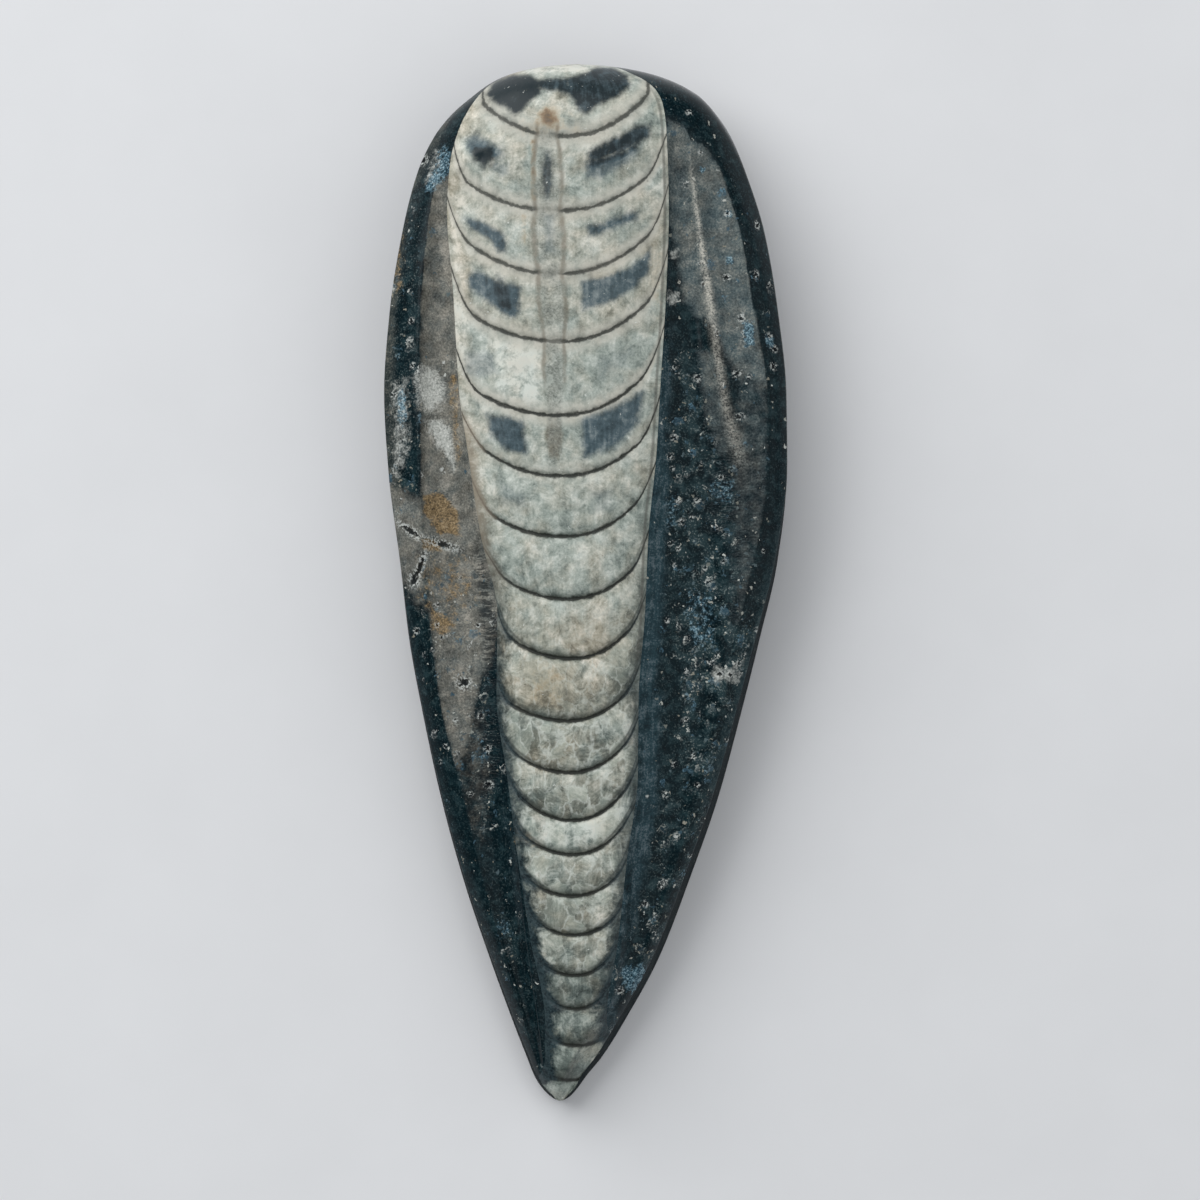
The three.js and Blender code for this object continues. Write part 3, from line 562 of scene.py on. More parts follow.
MARKS = {
    # dark grey calcite that fills the middle of a chamber, inside its pale lining
    "fill": [
        (1.9, 0.3, [(-11.2, 54.8), (-10.4, 56.5), (-8.2, 57.3), (-6.2, 57.0), (-5.0, 56.0),
                    (-5.0, 54.5), (-6.2, 53.6), (-6.9, 52.6), (-7.9, 51.9), (-9.2, 53.0),
                    (-10.6, 53.8)]),
        (1.4, 0.35, [(-5.8, 56.2), (-3.8, 56.6), (-1.8, 56.4), (-1.1, 53.9), (-3.1, 54.8),
                      (-5.4, 54.9)]),
        (1.5, 0.3, [(-2.2, 56.4), (0.0, 57.2), (1.4, 58.2), (3.0, 58.2), (4.8, 57.0),
                    (5.1, 55.4), (3.8, 54.2), (2.4, 53.5), (1.1, 52.8), (0.0, 51.9),
                    (-0.9, 52.6), (-1.4, 53.8), (-2.4, 54.6)]),
        (0.75, 0.5, [(-13.6, 49.5), (-12.2, 49.8), (-10.8, 49.0), (-9.1, 47.9), (-9.3, 47.0),
                      (-10.6, 46.7), (-11.4, 45.9), (-12.7, 47.0)]),
        (2.0, 0.25, [(-12.2, 47.9), (-10.9, 47.7), (-10.6, 46.7), (-11.4, 45.9), (-12.2, 46.7)]),
        (0.5, 0.4, [(-10.4, 46.7), (-8.8, 46.4), (-8.6, 45.2), (-9.6, 44.9), (-10.4, 45.9)]),
        (1.5, 0.3, [(0.2, 47.6), (2.2, 48.9), (4.2, 49.8), (5.7, 50.8), (7.4, 50.9), (7.2, 49.4),
                     (5.5, 48.4), (4.2, 47.7), (2.2, 47.0), (0.6, 46.4)]),
        (0.7, 0.45, [(-0.1, 46.6), (1.9, 47.4), (4.2, 48.1), (6.6, 49.4), (5.8, 47.3), (3.7, 45.9),
                     (1.7, 44.7), (0.2, 44.7)]),
        (1.5, 0.35, [(-4.5, 48.1), (-3.9, 47.6), (-3.5, 45.4), (-3.7, 43.2), (-4.2, 42.0),
                     (-4.8, 43.4), (-4.9, 45.9)]),
        (0.5, 0.35, [(-4.7, 40.6), (-3.5, 40.6), (-3.4, 36.4), (-4.5, 36.2)]),
        (0.95, 0.3, [(-13.7, 40.5), (-12.7, 40.3), (-11.1, 39.7), (-9.0, 38.5), (-8.8, 36.4),
                     (-9.8, 36.4), (-10.6, 37.8), (-12.7, 39.1)]),
        (0.9, 0.35, [(0.2, 39.3), (2.2, 39.8), (5.5, 41.2), (6.0, 41.0), (5.7, 40.0), (3.5, 39.3),
                     (1.4, 38.3), (0.4, 38.2)]),
        (0.88, 0.35, [(-13.3, 33.9), (-12.1, 34.5), (-9.9, 33.3), (-7.3, 32.5), (-7.4, 29.3),
                     (-8.6, 29.0), (-9.9, 30.1), (-12.2, 31.8), (-13.1, 32.6)]),
        (1.45, 0.4, [(-10.1, 33.8), (-9.1, 33.2), (-8.6, 30.2), (-9.6, 30.8)]),
        (0.8, 0.3, [(-0.5, 33.1), (2.2, 33.6), (5.2, 34.9), (7.3, 37.0), (7.2, 34.4), (6.0, 32.9),
                    (3.5, 31.1), (1.9, 30.5), (-0.3, 29.8)]),
        (0.5, 0.4, [(-13.5, 25.4), (-10.2, 25.1), (-10.0, 22.9), (-12.1, 22.3), (-13.5, 22.9)]),
        (0.3, 0.6, [(1.4, 24.1), (5.1, 25.6), (4.8, 23.8), (1.7, 22.3)]),
        (1.0, 0.35, [(-11.1, 18.3), (-9.2, 18.1), (-6.9, 17.4), (-6.5, 13.7), (-8.6, 14.0),
                    (-10.6, 15.8)]),
        (0.85, 0.4, [(-0.5, 17.6), (2.9, 19.0), (6.6, 20.9), (6.0, 17.2), (3.3, 14.4),
                     (-0.2, 13.3)]),
        (0.35, 0.6, [(-9.6, 10.7), (-6.8, 9.1), (-6.4, 7.6), (-9.6, 8.2)]),
        (0.3, 0.6, [(0.7, 9.8), (3.3, 10.1), (2.6, 7.3), (0.7, 7.3)]),
    ],
    # white calcite inside the shell, and one painted highlight along its left edge
    "milky": [
        (0.9, 0.8, [(-10.6, 26.0), (-5.6, 25.4), (-5.3, 19.5), (-8.4, 19.3), (-10.4, 21.5),
                     (-9.9, 23.9)]),
        (0.9, 0.5, [(-8.4, 58.4), (5.1, 58.6), (2.0, 58.2), (-1.0, 57.4), (-5.0, 57.2),
                    (-8.2, 57.9)]),
        (0.4, 0.6, [(-6.3, 53.6), (-4.2, 54.3), (-1.6, 53.4), (-2.4, 52.8), (-6.0, 52.6)]),
        (0.6, 0.6, [(6.6, 45.0), (8.9, 46.8), (9.2, 43.3), (7.2, 42.1)]),
        (0.6, 0.6, [(-15.2, 43.7), (-13.4, 42.3), (-13.2, 39.3), (-15.0, 40.3)]),
        (0.5, 0.9, [(-15.0, 49.6), (-13.4, 50.6), (-13.6, 46.0), (-14.8, 46.6)]),
        # this band along the shell's left edge is a painted highlight, where the shell's shoulder faces
        # the window
        (1.15, 0.6, [(-15.1, 40.7), (-14.2, 39.7), (-13.6, 31.8), (-13.4, 23.9), (-13.0, 16.9),
                     (-14.0, 16.9), (-14.8, 26.8)]),
        (0.7, 0.5, [(-12.2, 12.2), (-10.2, 11.2), (-10.0, 8.9), (-11.6, 9.4)]),
        (0.5, 0.6, [(-10.6, 13.2), (-7.2, 12.2), (-6.8, 10.9), (-10.2, 11.4)]),
        (0.8, 0.3, [(1.1, 8.2), (2.0, 8.1), (1.9, 6.7), (1.2, 6.8)]),
        (0.6, 0.9, [(-9.6, -7.7), (-7.5, -7.7), (-7.2, -13.5), (-9.0, -13.1)]),
        (0.6, 0.9, [(-0.8, -7.7), (3.0, -8.0), (2.8, -12.2), (-0.4, -12.5)]),
        (0.7, 0.8, [(2.4, -14.7), (6.0, -13.7), (5.9, -18.3), (3.4, -19.1)]),
        (0.45, 0.8, [(-3.0, -20.2), (5.4, -19.7), (4.6, -24.2), (-1.5, -25.2)]),
        (0.7, 0.3, [(-3.7, -25.6), (-2.6, -25.5), (-2.7, -26.7), (-3.6, -26.7)]),
        (0.7, 1.0, [(-7.4, -27.1), (4.6, -25.4), (4.4, -28.8), (-1.2, -30.8), (-6.4, -30.0)]),
        (0.55, 0.8, [(-7.2, -32.0), (-3.8, -32.3), (-3.4, -34.5), (-6.2, -34.3)]),
        (0.85, 0.7, [(0.7, -35.3), (4.0, -34.1), (3.8, -37.9), (1.0, -39.1)]),
        (0.6, 0.7, [(-4.8, -40.8), (-2.6, -40.8), (-2.5, -44.0), (-4.6, -43.6)]),
        (0.5, 0.7, [(-0.2, -40.8), (2.8, -40.1), (2.6, -43.0), (0.2, -44.2)]),
        (0.45, 0.8, [(-3.4, -48.6), (2.0, -48.0), (1.6, -51.3), (-2.6, -51.5)]),
        (0.6, 0.5, [(-4.8, -53.9), (-2.6, -53.7), (-2.6, -55.1), (-4.4, -55.1)]),
        (0.4, 0.7, [(-1.0, -53.3), (2.6, -53.1), (2.2, -55.5), (-0.6, -55.9)]),
    ],
    # smoky patches inside the shell
    "smoky": [
        (0.35, 0.9, [(3.1, -10.4), (5.6, -10.0), (5.6, -13.1), (3.4, -13.5)]),
        (0.4, 1.2, [(-7.4, -17.1), (1.0, -17.7), (2.6, -20.3), (-4.0, -20.9), (-7.2, -19.3)]),
        (0.5, 0.8, [(-7.5, -24.2), (4.4, -23.4), (4.2, -25.4), (-2.5, -27.0), (-7.0, -25.8)]),
        (0.5, 0.8, [(-6.6, -36.1), (0.4, -36.5), (0.4, -39.3), (-5.6, -39.1)]),
        (0.35, 0.8, [(-11.4, 3.9), (-9.4, 3.3), (-9.4, 1.0), (-11.0, 1.5)]),
        (0.5, 0.4, [(-7.9, 9.6), (-6.6, 9.2), (-6.6, 7.4), (-7.8, 7.8)]),
        (0.6, 0.5, [(0.4, 9.4), (2.4, 9.8), (1.6, 7.0), (0.4, 7.0)]),
        (0.7, 0.5, [(-13.2, 16.5), (-12.2, 16.3), (-12.2, 15.2), (-13.2, 15.4)]),
        (1.6, 0.3, [(-4.2, 18.2), (-2.9, 18.3), (-2.5, 15.8), (-3.0, 13.2), (-4.0, 13.3),
                    (-4.4, 15.8)]),
        (0.7, 0.5, [(-13.2, 12.6), (-12.2, 12.4), (-12.2, 11.4), (-13.2, 11.6)]),
        (0.6, 1.0, [(-6.4, -42.5), (-4.6, -43.5), (-4.2, -50.5), (-4.9, -54.0), (-6.2, -50.0)]),
        (0.6, 1.0, [(3.6, -41.5), (2.4, -43.0), (1.8, -49.0), (2.6, -54.0), (3.6, -50.0)]),
        (0.5, 0.7, [(-3.4, -54.4), (-1.2, -54.0), (-1.6, -56.2), (-3.2, -56.4)]),
        (0.35, 0.9, [(0.6, 45.2), (5.6, 47.0), (5.0, 44.8), (1.2, 43.3)]),
        (0.35, 0.9, [(-13.8, 41.1), (-10.4, 39.9), (-9.8, 36.7), (-12.4, 37.1)]),
        (0.25, 1.2, [(1.0, 26.2), (6.8, 28.2), (7.6, 23.9), (3.5, 20.5), (0.4, 19.7)]),
    ],
    # brownish patches inside the shell
    "tan": [
        (0.8, 1.2, [(-7.1, -9.6), (-1.0, -9.8), (-1.2, -15.1), (-6.6, -14.5)]),
        (0.4, 1.2, [(-3.0, -4.4), (2.5, -4.2), (2.5, -8.6), (-3.0, -8.8)]),
        (0.7, 0.6, [(-6.9, -40.3), (-6.0, -40.3), (-5.9, -43.2), (-6.7, -43.0)]),
        (0.5, 0.9, [(-8.6, -35.1), (-6.6, -35.7), (-6.4, -38.5), (-7.8, -38.1)]),
        (0.5, 1.0, [(6.2, 38.1), (8.8, 39.3), (8.9, 31.8), (7.2, 32.8)]),
        (0.5, 0.9, [(-8.8, 45.6), (-6.6, 43.9), (-6.8, 48.6), (-8.4, 49.2)]),
        (0.9, 0.3, [(-4.2, 18.2), (-2.9, 18.3), (-2.5, 15.8), (-3.0, 13.2), (-4.0, 13.3),
                    (-4.4, 15.8)]),
    ],
    # iron staining
    "rust": [
        (1.0, 1.3, [(-5.2, 52.0), (-4.4, 52.8), (-3.4, 52.4), (-3.0, 51.4), (-3.6, 50.6),
                    (-4.8, 50.8)]),
        (0.35, 1.6, [(-7.0, 51.6), (-2.0, 52.2), (-0.5, 50.2), (-7.0, 49.6)]),
        (0.45, 0.3, [(-6.1, 49.1), (-5.6, 49.1), (-5.5, 42.2), (-6.2, 42.2)]),
        (0.35, 0.3, [(-7.2, 40.7), (-6.6, 40.7), (-6.6, 37.2), (-7.1, 37.2)]),
        (1.0, 0.5, [(-18.2, 9.3), (-16.1, 9.7), (-14.5, 7.6), (-14.0, 4.9), (-16.4, 5.0),
                    (-18.1, 7.3)]),
        (0.9, 0.4, [(-18.5, 4.5), (-17.0, 4.3), (-16.1, 3.2), (-17.4, 2.8), (-18.3, 3.5)]),
        (0.7, 0.6, [(-17.5, -3.3), (-15.6, -4.0), (-14.6, -5.2), (-16.2, -6.4), (-17.5, -5.6)]),
        (0.35, 1.8, [(-18.6, 2.3), (-13.5, 2.7), (-12.0, -1.7), (-15.5, -4.6), (-18.6, -2.2)]),
        (0.5, 0.5, [(-15.4, 23.1), (-14.5, 23.1), (-14.0, 14.2), (-14.6, 11.7), (-15.2, 16.2)]),
        (0.35, 0.9, [(-22.0, 42.0), (-20.3, 42.5), (-20.5, 32.1), (-22.3, 32.1)]),
        (0.25, 1.5, [(7.2, 36.7), (9.0, 36.7), (9.0, 26.8), (7.6, 29.8)]),
        (0.3, 1.0, [(-6.0, -10.2), (-2.4, -10.2), (-2.4, -14.7), (-6.0, -13.7)]),
        (0.5, 0.8, [(-8.2, -28.2), (-6.2, -28.4), (-5.6, -30.2), (-7.6, -30.0)]),
    ],
    # worn brown place that reaches over the left edge
    "worn": [
        (1.0, 1.2, [(-24.4, 7.8), (-22.0, 10.8), (-19.8, 9.6), (-17.6, 9.0), (-17.4, 2.8),
                    (-18.0, -3.4), (-19.8, -2.2), (-20.4, -0.6), (-21.6, 0.8), (-22.8, 3.5)]),
    ],
    # chalky white patches in the limestone
    "chalk": [
        (1.0, 1.0, [(-19.0, 22.6), (-18.2, 23.6), (-16.9, 23.2), (-16.1, 21.4), (-16.2, 19.7),
                    (-17.4, 18.8), (-18.6, 19.9)]),
        (1.0, 0.7, [(-17.9, 17.6), (-16.6, 17.9), (-15.2, 16.7), (-14.9, 14.6), (-14.7, 12.2),
                    (-15.5, 13.6), (-16.4, 15.0), (-17.4, 16.2)]),
        (0.5, 0.4, [(9.6, 37.2), (10.4, 37.2), (10.4, 36.2), (9.6, 36.2)]),
        (0.6, 0.4, [(9.4, 32.3), (10.5, 32.1), (10.2, 30.9), (9.4, 31.0)]),
        (0.5, 0.6, [(14.2, -9.9), (17.2, -9.8), (17.4, -11.6), (14.4, -11.8)]),
        (0.5, 0.9, [(-21.6, 22.0), (-20.2, 22.4), (-20.0, 15.0), (-21.4, 11.0)]),
        (0.4, 0.8, [(-17.0, 48.4), (-15.6, 47.6), (-17.0, 44.4), (-18.0, 44.6)]),
    ],
    # pale blue calcite
    "blue": [
        (0.85, 0.8, [(-16.2, 48.9), (-15.2, 47.9), (-15.4, 45.5), (-17.4, 43.6), (-18.3, 43.9),
                     (-16.8, 46.5)]),
        (0.75, 0.6, [(-21.2, 21.0), (-20.7, 21.6), (-20.2, 20.4), (-20.1, 18.4), (-20.7, 17.0),
                     (-21.2, 18.0)]),
        (0.5, 0.5, [(-21.7, 26.1), (-21.2, 26.6), (-20.7, 25.8), (-21.0, 24.6)]),
        (1.0, 0.35, [(17.7, 29.0), (18.9, 28.7), (19.0, 26.3), (18.0, 25.9)]),
        (0.8, 0.3, [(15.8, 36.4), (16.8, 36.2), (16.6, 35.1), (15.8, 35.3)]),
        (0.9, 0.3, [(12.8, 46.4), (13.5, 46.3), (13.4, 45.7), (12.8, 45.8)]),
        (0.8, 0.3, [(15.8, 41.6), (16.5, 41.4), (16.4, 40.7), (15.8, 40.8)]),
        (0.7, 0.3, [(20.2, 27.5), (21.2, 27.1), (21.3, 25.7), (20.4, 26.1)]),
        (0.4, 0.8, [(11.6, -1.2), (14.4, -1.5), (14.8, -7.0), (12.2, -7.8), (11.0, -4.1)]),
        (0.5, 0.7, [(14.0, 10.8), (16.6, 11.2), (16.4, 8.5), (14.4, 8.7)]),
        (0.7, 0.5, [(4.0, -43.7), (6.6, -43.5), (7.2, -44.9), (5.2, -46.9), (4.3, -45.7)]),
        (0.4, 0.7, [(9.0, 9.2), (10.6, 9.4), (10.2, 5.7), (9.2, 5.9)]),
        (0.35, 0.9, [(-10.4, -38.2), (-8.6, -38.4), (-8.0, -40.6), (-9.6, -40.9)]),
    ],
    # ground, unpolished limestone, which looks grey-brown; the grey-brown is partly its own colour and
    # partly a painted sheen, where the flutes face the light
    "satin": [
        (1.0, 0.8, [(-18.4, 44.5), (-15.4, 45.5), (-13.6, 41.0), (-13.4, 29.1), (-12.6, 18.2),
                    (-10.6, 5.3), (-9.4, -3.6), (-10.4, -8.6), (-11.8, -11.5), (-12.6, -16.0),
                    (-14.0, -21.5), (-14.8, -21.0), (-16.4, -14.6), (-18.4, 3.3), (-18.6, 19.2)]),
        (0.55, 1.6, [(-14.4, -18.0), (-11.6, -14.0), (-10.8, -22.0), (-11.6, -30.0),
                     (-13.2, -27.0)]),
        (0.95, 0.8, [(9.4, 51.6), (13.0, 50.3), (17.4, 41.8), (19.2, 32.6), (20.2, 26.9),
                     (20.9, 21.0), (18.6, 22.5), (16.6, 23.5), (15.2, 26.0), (14.2, 28.2),
                     (11.0, 31.0), (9.8, 38.0), (8.6, 49.0)]),
        (0.75, 0.6, [(12.4, 25.8), (14.6, 25.4), (15.6, 20.2), (16.8, 14.6), (15.0, 13.6),
                     (13.6, 17.6)]),
        (0.55, 0.9, [(16.6, 23.5), (20.6, 23.0), (20.8, 12.0), (19.9, 0.0), (18.6, -6.0),
                     (17.0, -5.0), (17.0, 12.0)]),
    ],
    # smooth slate-blue band along the right of the shell
    "slate": [
        (0.9, 0.8, [(8.6, 13.2), (9.4, 13.2), (8.9, 1.3), (8.4, -8.6), (7.1, -16.0),
                    (6.6, -12.5), (7.1, -4.6)]),
        (0.8, 1.0, [(7.0, -13.0), (8.6, -13.0), (8.0, -26.5), (5.2, -40.3), (4.8, -34.4),
                    (6.0, -22.5)]),
        (0.25, 0.6, [(-9.4, -26.5), (-8.9, -26.5), (-6.9, -38.4), (-7.6, -38.4)]),
    ],
    # where the limestone is full of small calcite specks
    "speckle": [
        (1.0, 2.0, [(9.4, 27.1), (13.0, 25.1), (17.0, 9.2), (20.0, -6.6), (17.0, -19.0),
                    (13.6, -23.0), (9.6, -20.5), (9.8, -6.6)]),
        (0.65, 2.0, [(16.8, -19.0), (13.6, -31.0), (9.5, -42.0), (6.5, -48.5), (5.0, -46.0),
                     (6.0, -40.4), (8.6, -22.0)]),
        (0.6, 1.5, [(-21.8, 45.0), (-19.0, 46.0), (-18.6, 29.1), (-19.0, 9.2), (-18.8, -2.7),
                    (-20.4, -0.7), (-22.6, 13.2), (-22.8, 27.1)]),
        (0.85, 2.0, [(-20.0, 8.3), (-17.0, 9.3), (-11.5, -0.7), (-10.4, -14.6), (-10.0, -26.5),
                     (-12.0, -28.4), (-15.6, -18.5), (-19.0, -1.0)]),
        (0.5, 2.0, [(-10.6, -30.4), (-8.6, -34.4), (-6.0, -46.3), (-7.6, -48.3), (-10.4, -40.4)]),
        (0.4, 2.0, [(10.0, 48.9), (16.0, 45.0), (19.0, 33.1), (18.0, 21.2), (12.0, 33.1)]),
    ],
}

# Large open pits and cracks: (x, y, radius along X, radius along Y, turn in degrees, depth).
HOLLOWS = [
    (-19.6, 5.3, 1.5, 0.32, -35, 0.35), (-16.1, 3.9, 1.3, 0.35, -18, 0.25),
    (-18.6, 1.3, 0.3, 1.4, -22, 0.35), (-19.3, -0.1, 0.45, 0.6, 0, 0.3),
    (-11.8, 47.1, 0.31, 0.31, 20, 0.35), (-4.6, 45.0, 0.3, 2.1, 0, 0.25),
    (3.4, 48.0, 2.4, 0.4, 32, 0.2), (-14.3, 35.1, 0.16, 0.6, 0, 0.2),
    (-22.4, 32.9, 0.56, 0.37, 0, 0.5), (-18.4, 47.5, 0.43, 0.37, 30, 0.4),
    (16.6, -23.7, 0.37, 0.56, 0, 0.35), (2.4, -53.5, 0.9, 1.6, -30, 0.3),
    (-11.0, -19.1, 0.31, 0.28, 0, 0.3), (-20.2, 46.0, 0.37, 0.31, 40, 0.3),
    (15.2, 11.4, 0.28, 0.19, 0, 0.3), (15.1, -10.7, 0.31, 0.26, 10, 0.3),
    (16.3, -10.8, 0.26, 0.24, -10, 0.25), (-13.7, -11.7, 0.59, 0.53, 0, 0.15),
    (13.0, 35.5, 0.24, 0.22, 0, 0.2), (13.3, 33.1, 0.19, 0.22, 0, 0.2),
    (16.0, 41.1, 0.21, 0.25, 0, 0.25), (13.0, 48.0, 0.21, 0.19, 0, 0.2),
    (19.4, 40.0, 0.19, 0.34, 10, 0.2), (19.2, 34.2, 0.22, 0.34, 0, 0.2),
    (14.8, 27.6, 0.15, 0.37, 0, 0.3), (11.7, 52.5, 0.28, 0.2, 20, 0.12),
    (20.7, 27.3, 0.28, 0.25, 0, 0.2), (21.3, 25.9, 0.25, 0.28, 30, 0.2),
    (21.2, 23.9, 0.25, 0.31, 0, 0.2), (17.1, 23.0, 0.37, 0.31, 20, 0.25),
    (18.5, 22.7, 0.19, 0.21, 0, 0.2), (17.4, 18.2, 0.37, 0.25, 10, 0.25),
    (15.9, 33.9, 0.31, 0.26, 0, 0.3), (12.6, 22.6, 0.28, 0.31, 0, 0.2),
    (9.9, 23.6, 0.21, 0.19, 0, 0.15), (10.0, 15.9, 0.28, 0.25, 20, 0.2),
    (9.4, 13.7, 0.21, 0.25, 0, 0.15), (9.8, 12.4, 0.19, 0.19, 0, 0.15),
    (10.5, 8.8, 0.22, 0.26, 0, 0.2), (12.6, 8.8, 0.25, 0.2, 0, 0.2),
    (10.8, 6.4, 0.25, 0.28, 0, 0.2), (12.0, 6.9, 0.19, 0.19, 0, 0.15),
    (9.6, 4.0, 0.22, 0.21, 0, 0.15), (10.5, 3.4, 0.19, 0.19, 0, 0.15),
    (10.0, 1.5, 0.21, 0.19, 0, 0.15), (15.6, 1.9, 0.22, 0.19, 30, 0.2),
    (13.8, -0.3, 0.25, 0.2, 0, 0.2), (13.5, 1.2, 0.19, 0.21, 0, 0.15),
    (11.8, -3.4, 0.15, 0.15, 0, 0.12), (14.8, -8.7, 0.21, 0.19, 0, 0.2),
    (17.3, -9.5, 0.21, 0.25, 0, 0.2), (17.9, -8.7, 0.19, 0.19, 0, 0.2),
    (19.3, -5.7, 0.15, 0.25, 0, 0.15), (-19.6, 29.0, 0.22, 0.25, 0, 0.2),
    (-19.7, 26.9, 0.24, 0.22, 0, 0.2), (-19.4, 23.9, 0.21, 0.25, 0, 0.2),
    (-16.0, 24.3, 0.14, 0.15, 0, 0.12), (-16.7, -3.0, 0.25, 0.22, 20, 0.15),
    (-14.1, 0.1, 0.19, 0.16, 0, 0.15), (-16.7, -5.2, 0.19, 0.22, 0, 0.15),
    (-16.2, -6.6, 0.16, 0.19, 0, 0.15), (-14.6, -15.9, 0.25, 0.21, 0, 0.2),
    (-11.8, -15.4, 0.25, 0.31, 0, 0.2), (-10.9, -23.2, 0.37, 0.31, 20, 0.2),
    (-13.0, -24.2, 0.25, 0.21, 0, 0.2), (11.3, -15.9, 0.28, 0.22, 10, 0.2),
    (12.2, -20.0, 0.22, 0.25, 0, 0.2), (10.0, -20.9, 0.19, 0.22, 0, 0.15),
    (12.6, -23.2, 0.22, 0.19, 0, 0.2), (6.8, -36.6, 0.25, 0.25, 0, 0.15),
]
SMALL_PITS = 22
SMALL_PIT_RADIUS = (0.14, 0.30)
SMALL_PIT_SPAN = 50             # none lie further than this from the stone's middle,
SHELL_MARGIN = 0.6              # nor nearer than this to the shell
RIM_MARGIN = 1                  # or to the rim
PIT_REACH = 3.0                 # beyond this many radii a pit changes nothing
PIT_FADE = 0.5                  # pits fade out towards the rim over this width

# The siphuncle's middle and half width along the shell.
TUBE_MIDDLE = [(7.0, -4.0), (18.4, -3.4), (26.6, -3.5), (34.0, -3.9), (41.3, -4.2), (49.6, -4.3)]
TUBE_HALF_WIDTH = [(7.0, 1.1), (18.4, 1.0), (26.6, 1.25), (34.0, 1.5), (41.3, 1.6), (49.6, 1.3)]

# Towards its edges a septum climbs further than the rows of the mesh do, by this share of a
# chamber, from EDGE_CLIMB_FROM outwards.
EDGE_CLIMB = [
    (-59.2, 0.1), (-20.0, 0.2), (5.0, 0.32), (30.0, 0.4), (44.0, 0.5), (50.0, 0.3), (56.0, 0.1),
]
EDGE_CLIMB_FROM = 0.8
FILL_REACH = 1.2                # a fill's darkness reaches this far past its outline,
FILL_FEATHER = 2.4              # and its cover fades over this many times its softness
SHADE_REACH = 0.24              # share of a chamber over which a septum's shade dies away
SIDE_BLEND = 0.2                # left turns into right over this share of the shell's half width

# Tool chatter beside the shell, where ticks cross the flute.
CHATTER = [
    (1.0, 0.6, [(-12.6, 3.3), (-11.5, 3.3), (-9.9, -4.6), (-9.9, -12.6), (-11.3, -12.6),
                (-11.8, -4.6)]),
    (0.7, 0.8, [(-12.4, -14.6), (-9.9, -13.6), (-9.4, -22.5), (-12.0, -25.5)]),
    (0.6, 1.0, [(14.0, 17.2), (16.4, 18.2), (18.0, 7.3), (14.0, 5.3)]),
    (0.45, 0.8, [(16.0, 14.0), (20.4, 14.0), (20.8, 4.0), (18.6, -6.0), (16.8, -4.0)]),
]

# Parts of the bevels that were ground but not brought to a polish. On the left bevel, which faces the
# window, their grey is also painted light.
DULL = [
    (1.0, 1.0, [(-15.5, 52.4), (-12.0, 55.4), (-10.0, 57.4), (-14.0, 57.4), (-20.5, 48.9),
                (-24.0, 33.1), (-24.5, 15.2), (-23.5, 1.3), (-20.6, -1.7), (-20.2, 3.3),
                (-21.3, 13.2), (-21.6, 29.1), (-20.0, 43.0), (-17.4, 48.4)]),
    (0.3, 0.8, [(-20.6, -1.7), (-22.5, -2.7), (-17.5, -28.4), (-16.2, -28.4), (-19.6, -8.6)]),
    (0.5, 1.2, [(22.8, 12.0), (20.6, 2.0), (18.0, -8.0), (13.5, -24.0), (16.5, -24.0),
                (20.5, -8.0), (23.2, 6.0)]),
]


def outline_gap(x, y, corners):
    """Signed distance from each place to a closed outline: less than 0 inside."""
    corners = np.array(corners)
    nearest = np.full(x.shape, np.inf)
    inside = np.zeros(x.shape, dtype=bool)
    for (ax, ay), (bx, by) in zip(corners, np.roll(corners, -1, axis=0)):
        sx, sy = bx - ax, by - ay
        t = np.clip(((x - ax) * sx + (y - ay) * sy) / (sx * sx + sy * sy), 0, 1)
        np.minimum(nearest, (x - ax - t * sx) ** 2 + (y - ay - t * sy) ** 2, out=nearest)
        crosses = (ay > y) != (by > y)
        rise = np.where(np.abs(sy) < 1e-9, 1e-9, sy)
        inside ^= crosses & (x < ax + sx * (y - ay) / rise)
    return np.where(inside, -1, 1) * np.sqrt(nearest)


def mark_field(x, y, marks):
    """The strongest of some marks at each place, from 0 to 1."""
    field = np.zeros(x.shape)
    for strength, soft, corners in marks:
        gap = outline_gap(x, y, corners)
        field = np.maximum(field, strength * smooth_step(soft, -soft, gap))
    return field


def fill_fields(x, y, marks):
    """How far each place lies inside a chamber's fill, and how dark the fill near it is."""
    cover, depth = np.zeros(x.shape), np.zeros(x.shape)
    for strength, soft, corners in marks:
        gap = outline_gap(x, y, corners)
        feather = FILL_FEATHER * soft
        cover = np.maximum(cover, smooth_step(feather, -feather, gap))
        depth = np.maximum(depth, strength * smooth_step(FILL_REACH, 0, gap))
    return cover, depth


def scattered_pits():
    """Places and sizes of the small pits in the limestone."""
    draw = random.Random(11)
    pits = []
    while len(pits) < SMALL_PITS:
        y = draw.uniform(-SMALL_PIT_SPAN, SMALL_PIT_SPAN)
        left, right = (float(outline[side](angle_at(y))) for side in ("left", "right"))
        x = draw.uniform(left + RIM_MARGIN, right - RIM_MARGIN)
        if shell_left(y) - SHELL_MARGIN < x < shell_right(y) + SHELL_MARGIN:
            continue
        radius = draw.uniform(*SMALL_PIT_RADIUS) * draw.choice((0.7, 0.8, 1.0, 1.3))
        length = radius * draw.uniform(0.7, 1.5)
        pits.append((x, y, radius, length, draw.uniform(0, 180), radius * 0.6))
    return pits


